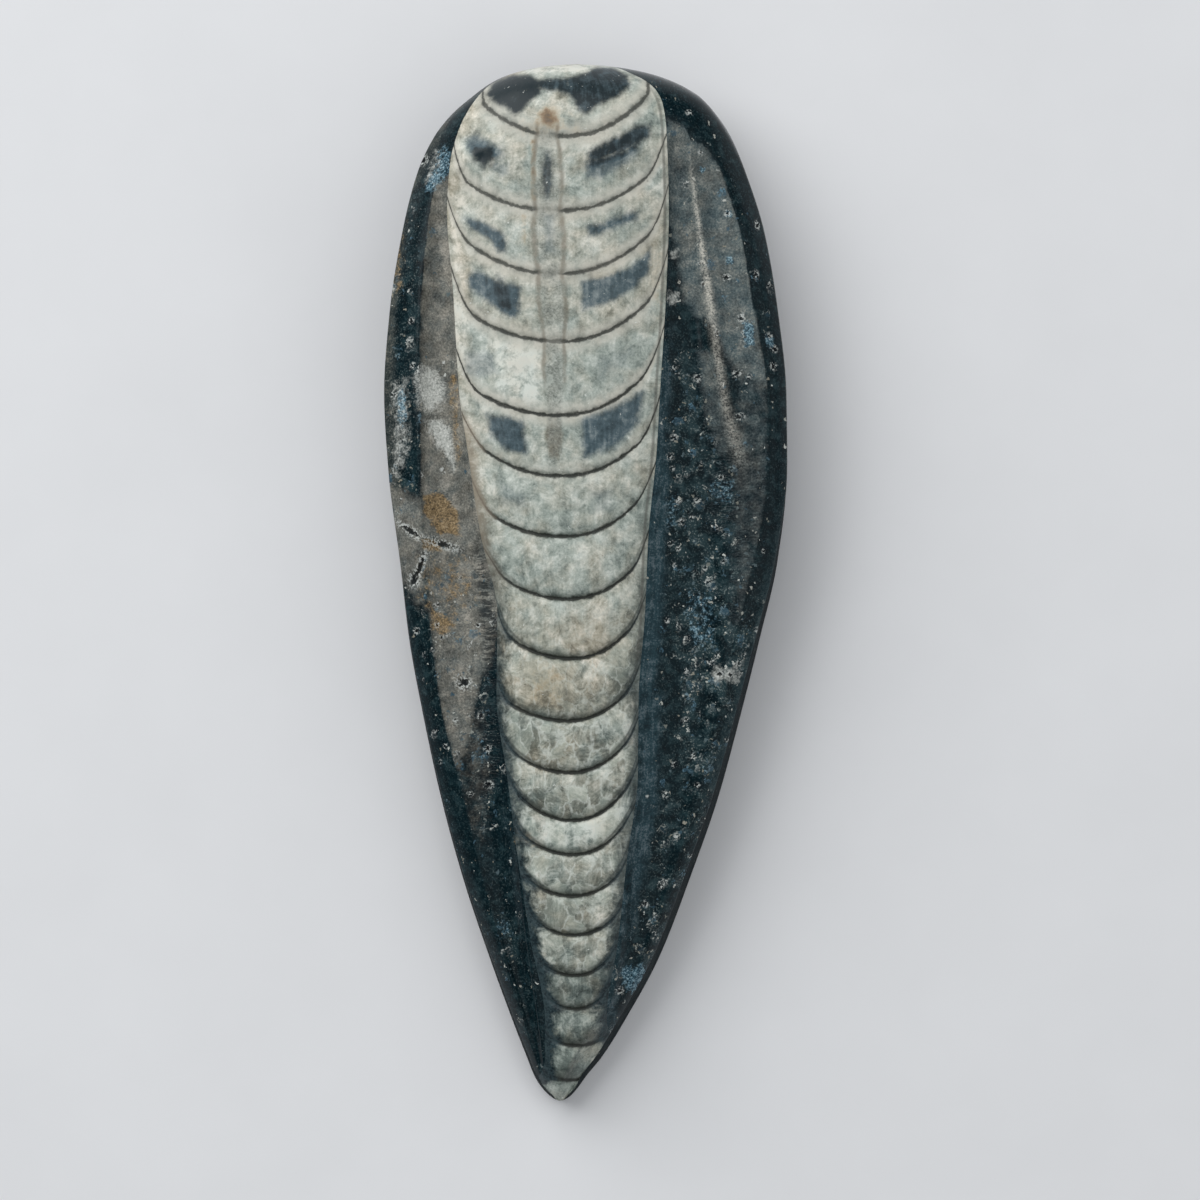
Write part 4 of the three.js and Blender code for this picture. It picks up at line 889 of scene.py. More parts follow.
def hollow_field(x, y, hollows):
    """Depth of the pits at each place, and its distance from the nearest in that pit's radii."""
    depth = np.zeros(x.shape)
    distance = np.full(x.shape, PIT_REACH)
    for cx, cy, rx, ry, turn, deep in hollows:
        reach = PIT_REACH * max(rx, ry) + 0.5
        near = (np.abs(x - cx) < reach) & (np.abs(y - cy) < reach)
        dx, dy = x[near] - cx, y[near] - cy
        cos, sin = math.cos(math.radians(turn)), math.sin(math.radians(turn))
        away = np.hypot((dx * cos + dy * sin) / rx, (dy * cos - dx * sin) / ry)
        depth[near] = np.maximum(depth[near], deep * np.clip(1 - away ** 2, 0, 1))
        distance[near] = np.minimum(distance[near], away)
    return depth, distance


def tone_fields(chamber, across):
    """Paleness, warmth and veins of the shell, chamber by chamber."""
    index = np.clip(np.floor(chamber).astype(int) + 1, 0, len(CHAMBER_TONES) - 1)
    tones = np.array(CHAMBER_TONES)[index]
    share = chamber - np.floor(chamber)
    pale, warm, veins, shade = (tones[..., i] for i in range(4))
    out = np.clip(np.abs(across), 0, 1)
    near_septum = np.exp(-share / SHADE_REACH)
    pale = pale - shade * near_septum * (1 - 0.5 * out) + 0.04 * smooth_step(0.5, 1, share)
    # the shell darkens towards its edges, more so in the half next to the tip: painted shade where the
    # dome turns away from the light, over edges that are also translucent
    in_tip_half = smooth_step(13, 8, chamber)
    pale = pale - 0.07 * out ** 6 * (1 - in_tip_half) - 0.16 * in_tip_half * out ** 4
    # that half has a pale band right of its middle, and the other a warm left edge
    pale = pale + 0.07 * in_tip_half * np.exp(-((across - 0.55) / 0.3) ** 2) * share
    warm = warm + 0.45 * smooth_step(-0.75, -0.95, across) * smooth_step(9, 13, chamber)
    return pale, warm, veins


def shell_fields(x, y, chamber, right):
    """Where the siphuncle, the septa and the shell's edges show, and how strongly."""
    share = chamber - np.floor(chamber)
    swell = 0.78 + 0.27 * np.sin(math.pi * share) ** 0.5
    tube = (x - smooth_curve(TUBE_MIDDLE)(y)) / (smooth_curve(TUBE_HALF_WIDTH)(y) * swell)
    broken = smooth_step(1.25, 0.9, np.abs(tube)) * smooth_step(24, 30, y)
    towards_tip = smooth_step(16, -16, y) * (1 + 0.5 * smooth_step(-30, -48, y))
    return {
        "tube": tube,
        "tube_strength": smooth_step(8, 16, y) * smooth_step(51.4, 50, y),
        "tube_wall": smooth_step(20, 23, y) * smooth_step(51.4, 50.5, y),
        "septum_strength": (1 - 0.85 * broken) * (0.86 + 0.14 * smooth_step(34, 20, y)),
        "septum_shade": 0.55 * smooth_step(13, 9.5, chamber),
        "lining": smooth_step(12.6, 13.6, chamber),
        "shell_gap": np.minimum(x - shell_left(y), shell_right(y) - x),
        "wall_line": right * smooth_step(-16, -2, y) * smooth_step(57, 53, y),
        "edge_fade": towards_tip * (0.75 + 0.25 * (1 - right)),
        "edge_tan": (1 - right) * smooth_step(-4, 8, y) * smooth_step(24, 14, y),
    }


def flank_fields(x, y, right):
    """The slate flank beside the shell, and the crest where the two right-hand flutes meet."""
    _, close, wide = flute_heights(x, y)
    width = 0.38 + 0.24 * smooth_step(46, 34, y)
    strength = 0.55 * smooth_step(9, 17, y) + 0.45 * smooth_step(22, 28, y)
    return {
        "flank": right * smooth_step(33, 20, y) * (0.5 + 0.3 * smooth_step(-22, -8, y)),
        "crest": np.exp(-(((close - wide) / width) ** 2)) * strength * smooth_step(51, 38, y),
    }


def field_values(form):
    """Every field that the materials read, for the points of the face, row by row."""
    face = form.face
    x, y, across, chamber = (face[k] for k in ("x", "y", "across", "cup"))
    right = smooth_step(-SIDE_BLEND, SIDE_BLEND, across)
    pale, warm, veins = tone_fields(chamber, across)
    cloud = shaped_noise(x, y, scale=0.22, seed=3.0)
    patch = shaped_noise(x, y, scale=0.55, seed=9.0)
    fields = {
        "chamber": chamber, "across": across, "chamber_pitch": face["pitch"], "along": y,
        "paleness": pale + 0.12 * cloud + 0.14 * patch, "warmth": warm + 0.5 * cloud - 0.4 * patch,
        "veins": veins, "pit": face["pit"], "patch": 0.5 + 0.5 * patch, "right": right,
    }
    for name, marks in MARKS.items():
        fields[name] = mark_field(x, y, marks)
    fields["fill"], fields["fill_depth"] = fill_fields(x, y, MARKS["fill"])
    # white calcite less smoky patches, with one painted highlight along the shell's left edge
    fields["light"] = fields.pop("milky") - fields.pop("smoky")
    fields.update(shell_fields(x, y, chamber, right))
    fields.update(flank_fields(x, y, right))
    bevel = face["bevel"]
    fields["bevel_line"] = 4 * bevel * (1 - bevel)
    fields["satin"] = np.maximum(fields["satin"] * (1 - bevel), 0.9 * fields.pop("worn"))
    fields["slate"] *= 1 - bevel
    fields["dull"] = mark_field(x, y, DULL) * bevel
    fields["chatter"] = mark_field(x, y, CHATTER)
    return fields


# ---------------------------------------------------------------------------------------------
# Colours, and short forms for the nodes of a material
# ---------------------------------------------------------------------------------------------

def srgb(red, green, blue):
    """A colour given as on a paint chart, from 0 to 255, in Blender's linear values."""
    shares = (red / 255, green / 255, blue / 255)
    return tuple(c / 12.92 if c <= 0.04045 else ((c + 0.055) / 1.055) ** 2.4 for c in shares)


# Colours that aren't among the settings, and ramps of them as (place, colour).
COOL_CALCITE = [
    (0.0, srgb(36, 46, 45)), (0.35, srgb(102, 113, 108)), (0.65, srgb(160, 169, 161)),
    (1.0, srgb(216, 221, 213)),
]
WARM_CALCITE = [
    (0.0, srgb(56, 50, 40)), (0.35, srgb(116, 111, 96)), (0.65, srgb(174, 169, 152)),
    (1.0, srgb(226, 219, 204)),
]
PALE_PLATE, DARK_PLATE = srgb(186, 196, 184), srgb(96, 102, 92)
VEIN_WHITE = srgb(206, 212, 204)
DARKEST_FILL, PALEST_FILL = srgb(20, 35, 41), srgb(158, 168, 168)
INCLUSION, GLINT = srgb(92, 90, 78), srgb(226, 230, 224)
RUST_BROWN, RUST_DARK = srgb(124, 95, 60), srgb(72, 54, 36)
TUBE_GREYS = [(0.2, srgb(92, 96, 90)), (0.8, srgb(178, 181, 172))]
TUBE_WALL = srgb(108, 99, 84)
WORN_SEPTUM = srgb(54, 57, 52)
EDGE_DARK, EDGE_TAN, EDGE_LINE = srgb(16, 30, 35), srgb(142, 132, 116), srgb(84, 84, 78)

DEEP_BLACK, GREY_BLACK = srgb(1, 12, 17), srgb(36, 58, 63)
HAZE, GREY_GRAINS = srgb(44, 64, 68), srgb(118, 130, 128)
# greys of the ground bevels; on the left bevel, which faces the window, partly painted light
DULL_DARK, DULL_PALE, DULL_BLUE = srgb(18, 28, 30), srgb(112, 108, 98), srgb(46, 76, 84)
# greys of the ground flutes, partly a painted sheen
FLUTE_DARK, FLUTE_GREY, FLUTE_PALE = srgb(26, 40, 46), srgb(66, 80, 84), srgb(148, 152, 146)
WARM_FLUTE = [
    (0.05, srgb(54, 52, 48)), (0.38, srgb(102, 101, 94)), (0.58, srgb(128, 126, 117)),
    (1.0, srgb(186, 180, 168)),
]
SLATE_DARK, SLATE_PALE = srgb(24, 38, 46), srgb(118, 130, 136)
SPECKS = [
    (0.0, srgb(50, 80, 96)), (0.35, srgb(92, 106, 108)), (0.7, srgb(142, 138, 124)),
    (1.0, srgb(210, 214, 208)),
]
SPECK_HEARTS = [(0.3, srgb(58, 88, 104)), (0.6, srgb(20, 36, 42))]
# rings of the large specks: pale lips, painted brighter on one side as a highlight
SPECK_RING_GLINTS = [(0.2, srgb(96, 132, 150)), (0.5, srgb(166, 170, 162)), (0.9, srgb(214, 218, 214))]
STAIN_DARK, STAIN_BROWN = srgb(58, 50, 40), srgb(130, 108, 74)
CHALK = [(0.25, srgb(140, 144, 138)), (0.7, srgb(220, 222, 216))]
BLUE_DARK, BLUE_PALE = srgb(22, 38, 48), srgb(160, 190, 202)
# pit lips are painted as a highlight, and pit insides as shade
PIT_LIP_GLINT, PIT_SHADE = srgb(196, 200, 196), srgb(8, 16, 19)
# the crest's pale is partly a painted highlight
CREST_PALE, CHATTER_DARK = srgb(208, 204, 192), srgb(20, 28, 32)
SAWN = [(0.25, srgb(5, 15, 19)), (0.55, srgb(18, 30, 35)), (0.85, srgb(56, 66, 68))]
SAWN_SPECK, DUST = srgb(150, 154, 150), srgb(138, 138, 130)


class NodeTable:
    """Short forms for adding nodes to a node tree and joining them."""

    def __init__(self, tree):
        self.tree = tree

    def add(self, kind, inputs=None, **settings):
        node = self.tree.nodes.new("ShaderNode" + kind)
        for name, value in settings.items():
            setattr(node, name, value)
        for name, value in (inputs or {}).items():
            self.feed(node.inputs[name], value)
        return node

    def feed(self, socket, value):
        if isinstance(value, bpy.types.NodeSocket):
            self.tree.links.new(value, socket)
        elif socket.type == "RGBA":
            socket.default_value = (*value[:3], 1.0)
        else:
            socket.default_value = value

    def feed_all(self, node, *values):
        for socket, value in zip(node.inputs, values):
            self.feed(socket, value)
        return node.outputs

    def math(self, operation, a, b=0.0, c=0.0, clamp=False):
        return self.feed_all(self.add("Math", operation=operation, use_clamp=clamp), a, b, c)[0]

    def vector(self, operation, *values):
        return self.feed_all(self.add("VectorMath", operation=operation), *values)

    def times(self, *values):
        product = values[0]
        for value in values[1:]:
            product = self.math("MULTIPLY", product, value)
        return product

    def sway(self, value, weight, onto):
        """Adds a 0 to 1 value's swing about its middle to another value."""
        return self.math("MULTIPLY_ADD", self.math("SUBTRACT", value, 0.5), weight, onto)

    def mix(self, share, a, b):
        node = self.add("Mix", data_type="RGBA")
        for index, value in ((0, share), (6, a), (7, b)):
            self.feed(node.inputs[index], value)
        return node.outputs[2]

    def coat(self, colour, mask, strength, over):
        """Lays another colour over a colour, as strongly as the mask says."""
        return self.mix(self.math("MULTIPLY", mask, strength), colour, over)

    def field(self, name):
        return self.add("Attribute", attribute_name=name).outputs["Fac"]

    def stretch(self, vector, scale):
        return self.vector("MULTIPLY", vector, scale)[0]

    def bend(self, vector, scale, amount, detail=2.0):
        """Shifts a place by noise, so that what is drawn from it has no straight edge."""
        shift = self.add("TexNoise", {"Vector": vector, "Scale": scale, "Detail": detail})
        return self.vector("MULTIPLY_ADD", shift.outputs["Color"], (amount,) * 3, vector)[0]

    def noise(self, vector, scale, detail=4.0, roughness=0.55, distortion=0.0):
        """Noise centred on 0.5, with a scale per unit."""
        inputs = {
            "Vector": vector, "Scale": scale, "Detail": detail, "Roughness": roughness,
            "Distortion": distortion,
        }
        return self.add("TexNoise", inputs).outputs["Fac"]

    def remap(self, value, low, high, to_low=0.0, to_high=1.0):
        """Eases from one value to another while the given one goes from low to high."""
        node = self.add("MapRange", interpolation_type="SMOOTHSTEP")
        return self.feed_all(node, value, low, high, to_low, to_high)[0]

    def ramp(self, value, *stops):
        """A colour from stops of (place, colour)."""
        node = self.add("ValToRGB")
        elements = node.color_ramp.elements
        while len(elements) < len(stops):
            elements.new(0.5)
        for element, (place, colour) in zip(elements, stops):
            element.position = place
            element.color = (*colour[:3], 1.0)
        return self.feed_all(node, value)[0]

    def place_on_stone(self):
        """Place on the stone, in units."""
        return self.stretch(self.add("TexCoord").outputs["Object"], (1 / UNIT,) * 3)

    def use(self, group, **inputs):
        node = self.add("Group")
        node.node_tree = group
        for name, value in inputs.items():
            self.feed(node.inputs[name.replace("_", " ").capitalize()], value)
        return node.outputs


class MaterialTable(NodeTable):
    """The nodes of a new material, and its shader."""

    def __init__(self, name):
        self.material = bpy.data.materials.new(name)
        self.material.use_nodes = True
        super().__init__(self.material.node_tree)
        self.tree.nodes.clear()
        self.shader = self.add("BsdfPrincipled")
        self.add("OutputMaterial", {"Surface": self.shader.outputs[0]})


class StoneTable(MaterialTable):
    """The nodes of one of the stone's materials, with its grain and the shared groups."""

    def __init__(self, name, groups, fine_scale, coarse_scale):
        super().__init__(name)
        self.groups = groups
        self.place = self.place_on_stone()
        grain = self.use(groups["grain"], vector=self.place, fine_scale=fine_scale,
                         coarse_scale=coarse_scale)
        self.fine, self.coarse, self.mixed = grain["Fine"], grain["Coarse"], grain["Mixed"]

    def torn(self, mask, grain, ragged, softness):
        """The mask with its edge torn by noise."""
        return self.use(self.groups["torn"], vector=self.place, mask=mask, grain=grain,
                        ragged=ragged, softness=softness)["Mask"]

    def specks(self, **inputs):
        return self.use(self.groups["speck"], vector=self.place, **inputs)

    def finish(self, colour, roughness, height, specular, bump, depth):
        """Feeds the shader. The bump is a strength, over a depth in units."""
        relief = self.add("Bump", {"Strength": bump, "Distance": depth * UNIT, "Height": height})
        self.feed(self.shader.inputs["Base Color"], colour)
        self.feed(self.shader.inputs["Roughness"], roughness)
        self.feed(self.shader.inputs["Normal"], relief.outputs[0])
        self.shader.inputs["Specular IOR Level"].default_value = specular
        return self.material


def new_group(name, inputs, outputs):
    """An empty shader node group with named sockets, its table, and its two end nodes."""
    group = bpy.data.node_groups.new(name, "ShaderNodeTree")
    for label, kind, value in inputs:
        socket = group.interface.new_socket(name=label, in_out="INPUT", socket_type="NodeSocket" + kind)
        if value is not None:
            socket.default_value = value
    for label, kind in outputs:
        group.interface.new_socket(name=label, in_out="OUTPUT", socket_type="NodeSocket" + kind)
    inside, out = group.nodes.new("NodeGroupInput"), group.nodes.new("NodeGroupOutput")
    return group, NodeTable(group), inside.outputs, out.inputs


def torn_edge_group():
    """Turns a soft mask into one with a ragged edge, as a stain or a calcite patch has."""
    group, t, given, out = new_group(
        "Torn edge",
        [("Vector", "Vector", None), ("Mask", "Float", 0.0), ("Grain", "Float", 1.0),
         ("Ragged", "Float", 0.6), ("Softness", "Float", 0.15)],
        [("Mask", "Float")],
    )
    value = t.noise(given["Vector"], given["Grain"], 4.0, 0.7)
    ragged = t.math("MULTIPLY", t.math("SUBTRACT", value, 0.5), given["Ragged"])
    touched = t.remap(given["Mask"], 0.0, 0.15)
    moved = t.math("ADD", given["Mask"], t.math("MULTIPLY", ragged, touched))
    low = t.math("SUBTRACT", 0.5, given["Softness"])
    high = t.math("ADD", 0.5, given["Softness"])
    t.feed(out["Mask"], t.remap(moved, low, high))
    return group


def speck_group():
    """Scattered calcite specks: ragged spots, some of them open rings with pale lips, painted brighter
    on their upper-left side as a highlight.
    """
    group, t, given, out = new_group(
        "Calcite specks",
        [("Vector", "Vector", None), ("Scale", "Float", 1.0), ("Amount", "Float", 0.4),
         ("Size", "Float", 0.3), ("Bent", "Float", 0.35)],
        [("Speck", "Float"), ("Ring", "Float"), ("Tint", "Float")],
    )
    warp = t.add("TexNoise", {"Vector": given["Vector"], "Scale": 2.2, "Detail": 2.0})
    shift = t.add("VectorMath", {"Scale": given["Bent"]}, operation="SCALE")
    t.feed(shift.inputs[0], warp.outputs["Color"])
    moved = t.vector("ADD", given["Vector"], shift.outputs[0])[0]
    cells = t.add("TexVoronoi", {"Vector": moved, "Scale": given["Scale"]})
    split = t.add("SeparateColor", {"Color": cells.outputs["Color"]})
    there = t.math("LESS_THAN", split.outputs["Red"], given["Amount"])
    radius = t.math("MULTIPLY", given["Size"], t.remap(split.outputs["Green"], 0, 1, 0.35, 1.0))
    away = t.math("DIVIDE", cells.outputs["Distance"], radius)
    band = t.math("MULTIPLY", t.remap(away, 0.4, 0.8), t.remap(away, 1.3, 0.9))
    direction = t.vector("NORMALIZE", t.vector("SUBTRACT", moved, cells.outputs["Position"])[0])[0]
    # painted highlight: each ring is brightest on its side towards the window at the upper left
    lit = t.vector("DOT_PRODUCT", direction, (-0.6, 0.8, 0.0))["Value"]
    side = t.remap(lit, -0.4, 0.9, 0.15, 1.0)
    t.feed(out["Speck"], t.math("MULTIPLY", there, t.remap(away, 1.1, 0.5)))
    t.feed(out["Ring"], t.times(there, band, side))
    t.feed(out["Tint"], split.outputs["Blue"])
    return group


def grain_group():
    """Fine and coarse grain of stone, each centred on 0.5."""
    group, t, given, out = new_group(
        "Stone grain",
        [("Vector", "Vector", None), ("Fine scale", "Float", 3.0), ("Coarse scale", "Float", 0.8)],
        [("Fine", "Float"), ("Coarse", "Float"), ("Mixed", "Float")],
    )
    fine = t.noise(given["Vector"], given["Fine scale"], 3.0, 0.75)
    coarse = t.noise(given["Vector"], given["Coarse scale"], 5.0, 0.62, 0.3)
    t.feed(out["Fine"], fine)
    t.feed(out["Coarse"], coarse)
    t.feed(out["Mixed"], t.math("MULTIPLY_ADD", fine, 0.45, t.math("MULTIPLY", coarse, 0.55)))
    return group


# ---------------------------------------------------------------------------------------------
# The shell's material. Each part of it paints over the colour so far.
# ---------------------------------------------------------------------------------------------

def calcite(t, blades, fibres):
    """Cool and warm calcite, clouded in its own way in each chamber."""
    # paler where there is white calcite, including a painted highlight along the shell's left edge
    light = t.field("light")
    tone = t.math("MULTIPLY_ADD", light, 0.24, t.field("paleness"))
    tone = t.math("MULTIPLY_ADD", t.times(light, t.math("SUBTRACT", t.coarse, 0.5)), 0.9, tone)
    blade_weight = t.math("MULTIPLY_ADD", t.field("veins"), 0.5, 0.32)
    for value, weight in ((t.coarse, 1.1), (t.fine, 0.55), (fibres, 0.3), (blades, blade_weight)):
        tone = t.sway(value, weight, tone)
    warmth = t.math("MULTIPLY_ADD", t.field("tan"), 0.9, t.field("warmth"))
    cool, warm = t.ramp(tone, *COOL_CALCITE), t.ramp(tone, *WARM_CALCITE)
    return t.mix(t.sway(t.coarse, 0.9, warmth), cool, warm)


def paint_lining(t, colour, to_septum, settings):
    """Cream lining on both sides of the upper septa."""
    mottle = t.remap(t.coarse, 0.3, 0.6, 0.6, 1.0)
    lining = t.times(t.remap(to_septum, 1.9, 0.5), t.field("lining"), mottle)
    return t.coat(colour, lining, 0.75, settings.lining_colour)


def paint_plates(t, colour, bent, plate_tone):
    """Crystal plates and the veins between them, in the lower chambers."""
    edges = t.add("TexVoronoi", {"Vector": bent, "Scale": PLATE_SCALE}, feature="DISTANCE_TO_EDGE")
    veins = t.field("veins")
    vein = t.times(t.remap(edges.outputs["Distance"], 0.11, 0.0), veins, t.remap(t.coarse, 0.38, 0.6))
    colour = t.mix(t.times(t.remap(plate_tone, 0.3, 1.0), veins, 0.42), colour, PALE_PLATE)
    colour = t.mix(t.times(t.remap(plate_tone, 0.3, 0.0), veins, 0.42), colour, DARK_PLATE)
    return t.coat(colour, vein, 0.7, VEIN_WHITE)


def paint_fills(t, colour, fill, fibres, settings):
    """Dark calcite in the middle of the upper chambers."""
    depth = t.field("fill_depth")
    tone = t.sway(fibres, 0.7, t.sway(t.coarse, 1.2, t.sway(t.fine, 0.45, 0.92)))
    tone = t.math("MULTIPLY_ADD", depth, -0.58, tone)
    dark = t.ramp(tone, (0.0, DARKEST_FILL), (0.45, settings.fill_colour), (1.0, PALEST_FILL))
    return t.coat(colour, fill, t.remap(depth, 0.2, 0.9, 0.3, 0.98), dark)


def paint_flecks(t, colour):
    """Small dark inclusions and pale glints."""
    dark = t.specks(scale=1.4, amount=0.14, size=0.17, bent=0.5)
    pale = t.specks(scale=2.3, amount=0.08, size=0.24, bent=0.9)
    colour = t.coat(colour, dark["Speck"], 0.4, INCLUSION)
    return t.coat(colour, pale["Speck"], 0.7, GLINT)


def paint_shell_rust(t, colour, settings):
    """Iron stains, darkest in their middle."""
    rust = t.field("rust")
    stain = t.sway(t.coarse, 1.5, rust)
    browns = t.ramp(stain, (0.3, settings.rust_colour), (0.7, RUST_BROWN), (1.0, RUST_DARK))
    cover = t.times(t.remap(stain, 0.1, 0.8), t.remap(rust, 0.0, 0.25))
    return t.coat(colour, cover, 0.88, browns)


def paint_siphuncle(t, colour, fill):
    """A mid-grey tube between two thin brown walls."""
    tube = t.sway(t.noise(t.place, 0.7, 3.0), 0.35, t.field("tube"))
    side = t.math("ABSOLUTE", tube)
    inside = t.times(t.remap(side, 1.05, 0.6), t.field("tube_strength"),
                     t.remap(t.coarse, 0.35, 0.65, 0.7, 0.25), t.remap(fill, 0.0, 1.0, 1.0, 0.25))
    colour = t.mix(inside, colour, t.ramp(t.sway(t.fine, 1.0, t.mixed), *TUBE_GREYS))
    to_wall = t.math("ABSOLUTE", t.math("SUBTRACT", side, 1.0))
    wall = t.times(t.remap(to_wall, 0.34, 0.04), t.field("tube_wall"),
                   t.remap(t.coarse, 0.3, 0.6, 0.45, 1.0))
    return t.coat(colour, wall, 0.62, TUBE_WALL)


def septum_line(t, to_septum):
    """Mask of the thin line along each septum, of uneven width."""
    width = t.math("MULTIPLY_ADD", t.noise(t.place, 0.9, 3.0, 0.7), 0.52, -0.06)
    line = t.remap(t.math("DIVIDE", to_septum, width), 1.7, 0.5)
    return t.times(line, t.field("septum_strength"), t.remap(t.fine, 0.25, 0.5, 0.7, 1.0))


def paint_septa(t, colour, line, gap, to_septum, across, settings):
    """Dark lines in a soft halo, shaded on the blunt side in the lower chambers."""
    shade = t.field("septum_shade")
    above = t.times(t.remap(gap, 1.25, 0.05), t.math("GREATER_THAN", gap, 0.0), shade)
    lift = t.math("MULTIPLY", t.math("POWER", t.math("ABSOLUTE", across), 2.0), 1.1)
    second = t.remap(t.math("ABSOLUTE", t.math("SUBTRACT", gap, lift)), 0.42, 0.05)
    above = t.math("MAXIMUM", above, t.times(second, shade, 1.3))
    halo = t.times(t.remap(to_septum, 0.85, 0.1), 0.36, t.remap(t.coarse, 0.35, 0.65, 1.2, 0.5))
    colour = t.mix(t.math("MAXIMUM", above, halo), colour, settings.shade_colour)
    greys = t.ramp(t.fine, (0.35, settings.septum_colour), (0.68, WORN_SEPTUM))
    return t.coat(colour, line, 0.97, greys)


def paint_shell_edges(t, colour, to_septum, blades, settings):
    """The shell's edges: slate towards the tip, tan on the left, a drawn line on the right."""
    shell_gap = t.field("shell_gap")
    scallop = t.math("MULTIPLY", t.remap(to_septum, 1.4, 0.0), -0.9)
    rim = t.math("ADD", t.sway(blades, 1.0, t.sway(t.coarse, 1.8, shell_gap)), scallop)
    slate = t.times(t.remap(rim, 1.9, -0.1), t.field("edge_fade"))
    slates = t.ramp(t.sway(t.fine, 1.2, t.coarse), (0.3, EDGE_DARK), (0.62, settings.edge_colour))
    colour = t.coat(colour, slate, 0.95, slates)
    tan = t.times(t.remap(rim, 1.5, 0.0), t.field("edge_tan"))
    colour = t.coat(colour, tan, 0.75, EDGE_TAN)
    to_line = t.math("ABSOLUTE", t.math("SUBTRACT", shell_gap, 0.45))
    line = t.times(t.remap(to_line, 0.28, 0.05), t.field("wall_line"))
    return t.coat(colour, line, 0.6, EDGE_LINE)


def shell_material(groups, settings):
    """Pale calcite with septa, siphuncle, dark chamber fills, veins and iron stains."""
    t = StoneTable("calcite shell", groups, fine_scale=3.9, coarse_scale=0.75)
    across, chamber = t.field("across"), t.field("chamber")
    bent = t.bend(t.stretch(t.place, (1.0, 0.75, 1.0)), 0.8, 1.8, 3.0)
    plates = t.add("TexVoronoi", {"Vector": bent, "Scale": PLATE_SCALE})
    plate_tone = t.add("SeparateColor", {"Color": plates.outputs["Color"]}).outputs["Red"]
    turn = {"Vector": t.place, "Angle": t.math("MULTIPLY", plate_tone, 9.0)}
    turned = t.add("VectorRotate", turn, rotation_type="Z_AXIS").outputs[0]
    blades = t.noise(t.stretch(turned, (3.4, 0.7, 1.0)), 1.0, 3.0, 0.65)
    run = t.add("CombineXYZ", {"X": t.math("MULTIPLY", across, 9.0), "Y": chamber}).outputs[0]
    fibres = t.noise(t.stretch(run, (2.4, 0.9, 1.0)), 1.0, 3.0, 0.6)
    number = t.sway(t.noise(t.place, 1.3, 3.0, 0.6), 0.05, chamber)
    offset = t.math("SUBTRACT", number, t.math("ROUND", number))
    gap = t.math("MULTIPLY", offset, t.field("chamber_pitch"))
    to_septum = t.math("ABSOLUTE", gap)
    fill = t.torn(t.field("fill"), grain=1.0, ragged=0.9, softness=0.42)
    line = septum_line(t, to_septum)

    colour = calcite(t, blades, fibres)
    colour = paint_lining(t, colour, to_septum, settings)
    colour = paint_plates(t, colour, bent, plate_tone)
    colour = paint_fills(t, colour, fill, fibres, settings)
    colour = paint_flecks(t, colour)
    colour = paint_shell_rust(t, colour, settings)
    colour = paint_siphuncle(t, colour, fill)
    colour = paint_septa(t, colour, line, gap, to_septum, across, settings)
    colour = paint_shell_edges(t, colour, to_septum, blades, settings)

    rough = t.math("MULTIPLY_ADD", line, 0.25, t.math("MULTIPLY_ADD", t.fine, 0.24, 0.20))
    height = t.math("MULTIPLY_ADD", t.fine, 0.5, t.math("MULTIPLY", t.coarse, 0.7))
    height = t.math("MULTIPLY_ADD", line, -0.8, height)
    height = t.math("MULTIPLY_ADD", fill, -0.35, height)
    return t.finish(colour, rough, height, specular=0.25, bump=0.4, depth=0.07)


# ---------------------------------------------------------------------------------------------
# The limestone's materials
# ---------------------------------------------------------------------------------------------

def black_stone(t, density, settings):
    """Polished black, hazy and full of fine grey grains where the stone is speckled."""
    tone = t.sway(t.coarse, 1.1, t.sway(t.fine, 0.9, 0.5))
    black = t.ramp(tone, (0.15, DEEP_BLACK), (0.5, settings.black_colour), (0.95, GREY_BLACK))
    haze = t.remap(t.math("MULTIPLY_ADD", density, 0.22, t.coarse), 0.5, 0.8)
    grains = t.math("MULTIPLY_ADD", density, 0.62, 0.13)
    colour = t.coat(black, haze, 0.6, HAZE)
    return t.coat(colour, t.remap(t.fine, 0.53, 0.66), grains, GREY_GRAINS)


def paint_dull_bevels(t, colour, dull, patch, settings):
    """Bevels that were ground but not polished; on the left bevel, which faces the window, the grey is
    also painted light.
    """
    tone = t.sway(patch, 0.5, t.sway(t.fine, 1.1, t.mixed))
    greys = t.ramp(tone, (0.2, DULL_DARK), (0.5, settings.dull_colour), (0.85, DULL_PALE))
    return t.coat(colour, dull, 0.8, t.coat(greys, t.field("right"), 0.6, DULL_BLUE))


def paint_flutes(t, colour, satin, patch, settings):
    """Ground flutes, in which cool and brownish grey mingle: partly the ground stone's own colour,
    partly a painted sheen.
    """
    base = t.math("MULTIPLY", t.field("satin"), 0.55)
    tone = t.sway(patch, 0.4, t.sway(t.coarse, 0.8, t.sway(t.fine, 1.3, base)))
    cool = t.ramp(tone, (0.05, FLUTE_DARK), (0.38, FLUTE_GREY), (0.58, settings.satin_colour),
                  (1.0, FLUTE_PALE))
    tint = t.math("MULTIPLY", t.noise(t.place, 0.45, 3.0, 0.6), 1.6)
    brown = t.math("SUBTRACT", tint, t.math("MULTIPLY", t.field("right"), 0.55), clamp=True)
    return t.coat(colour, satin, 0.92, t.mix(brown, cool, t.ramp(tone, *WARM_FLUTE)))


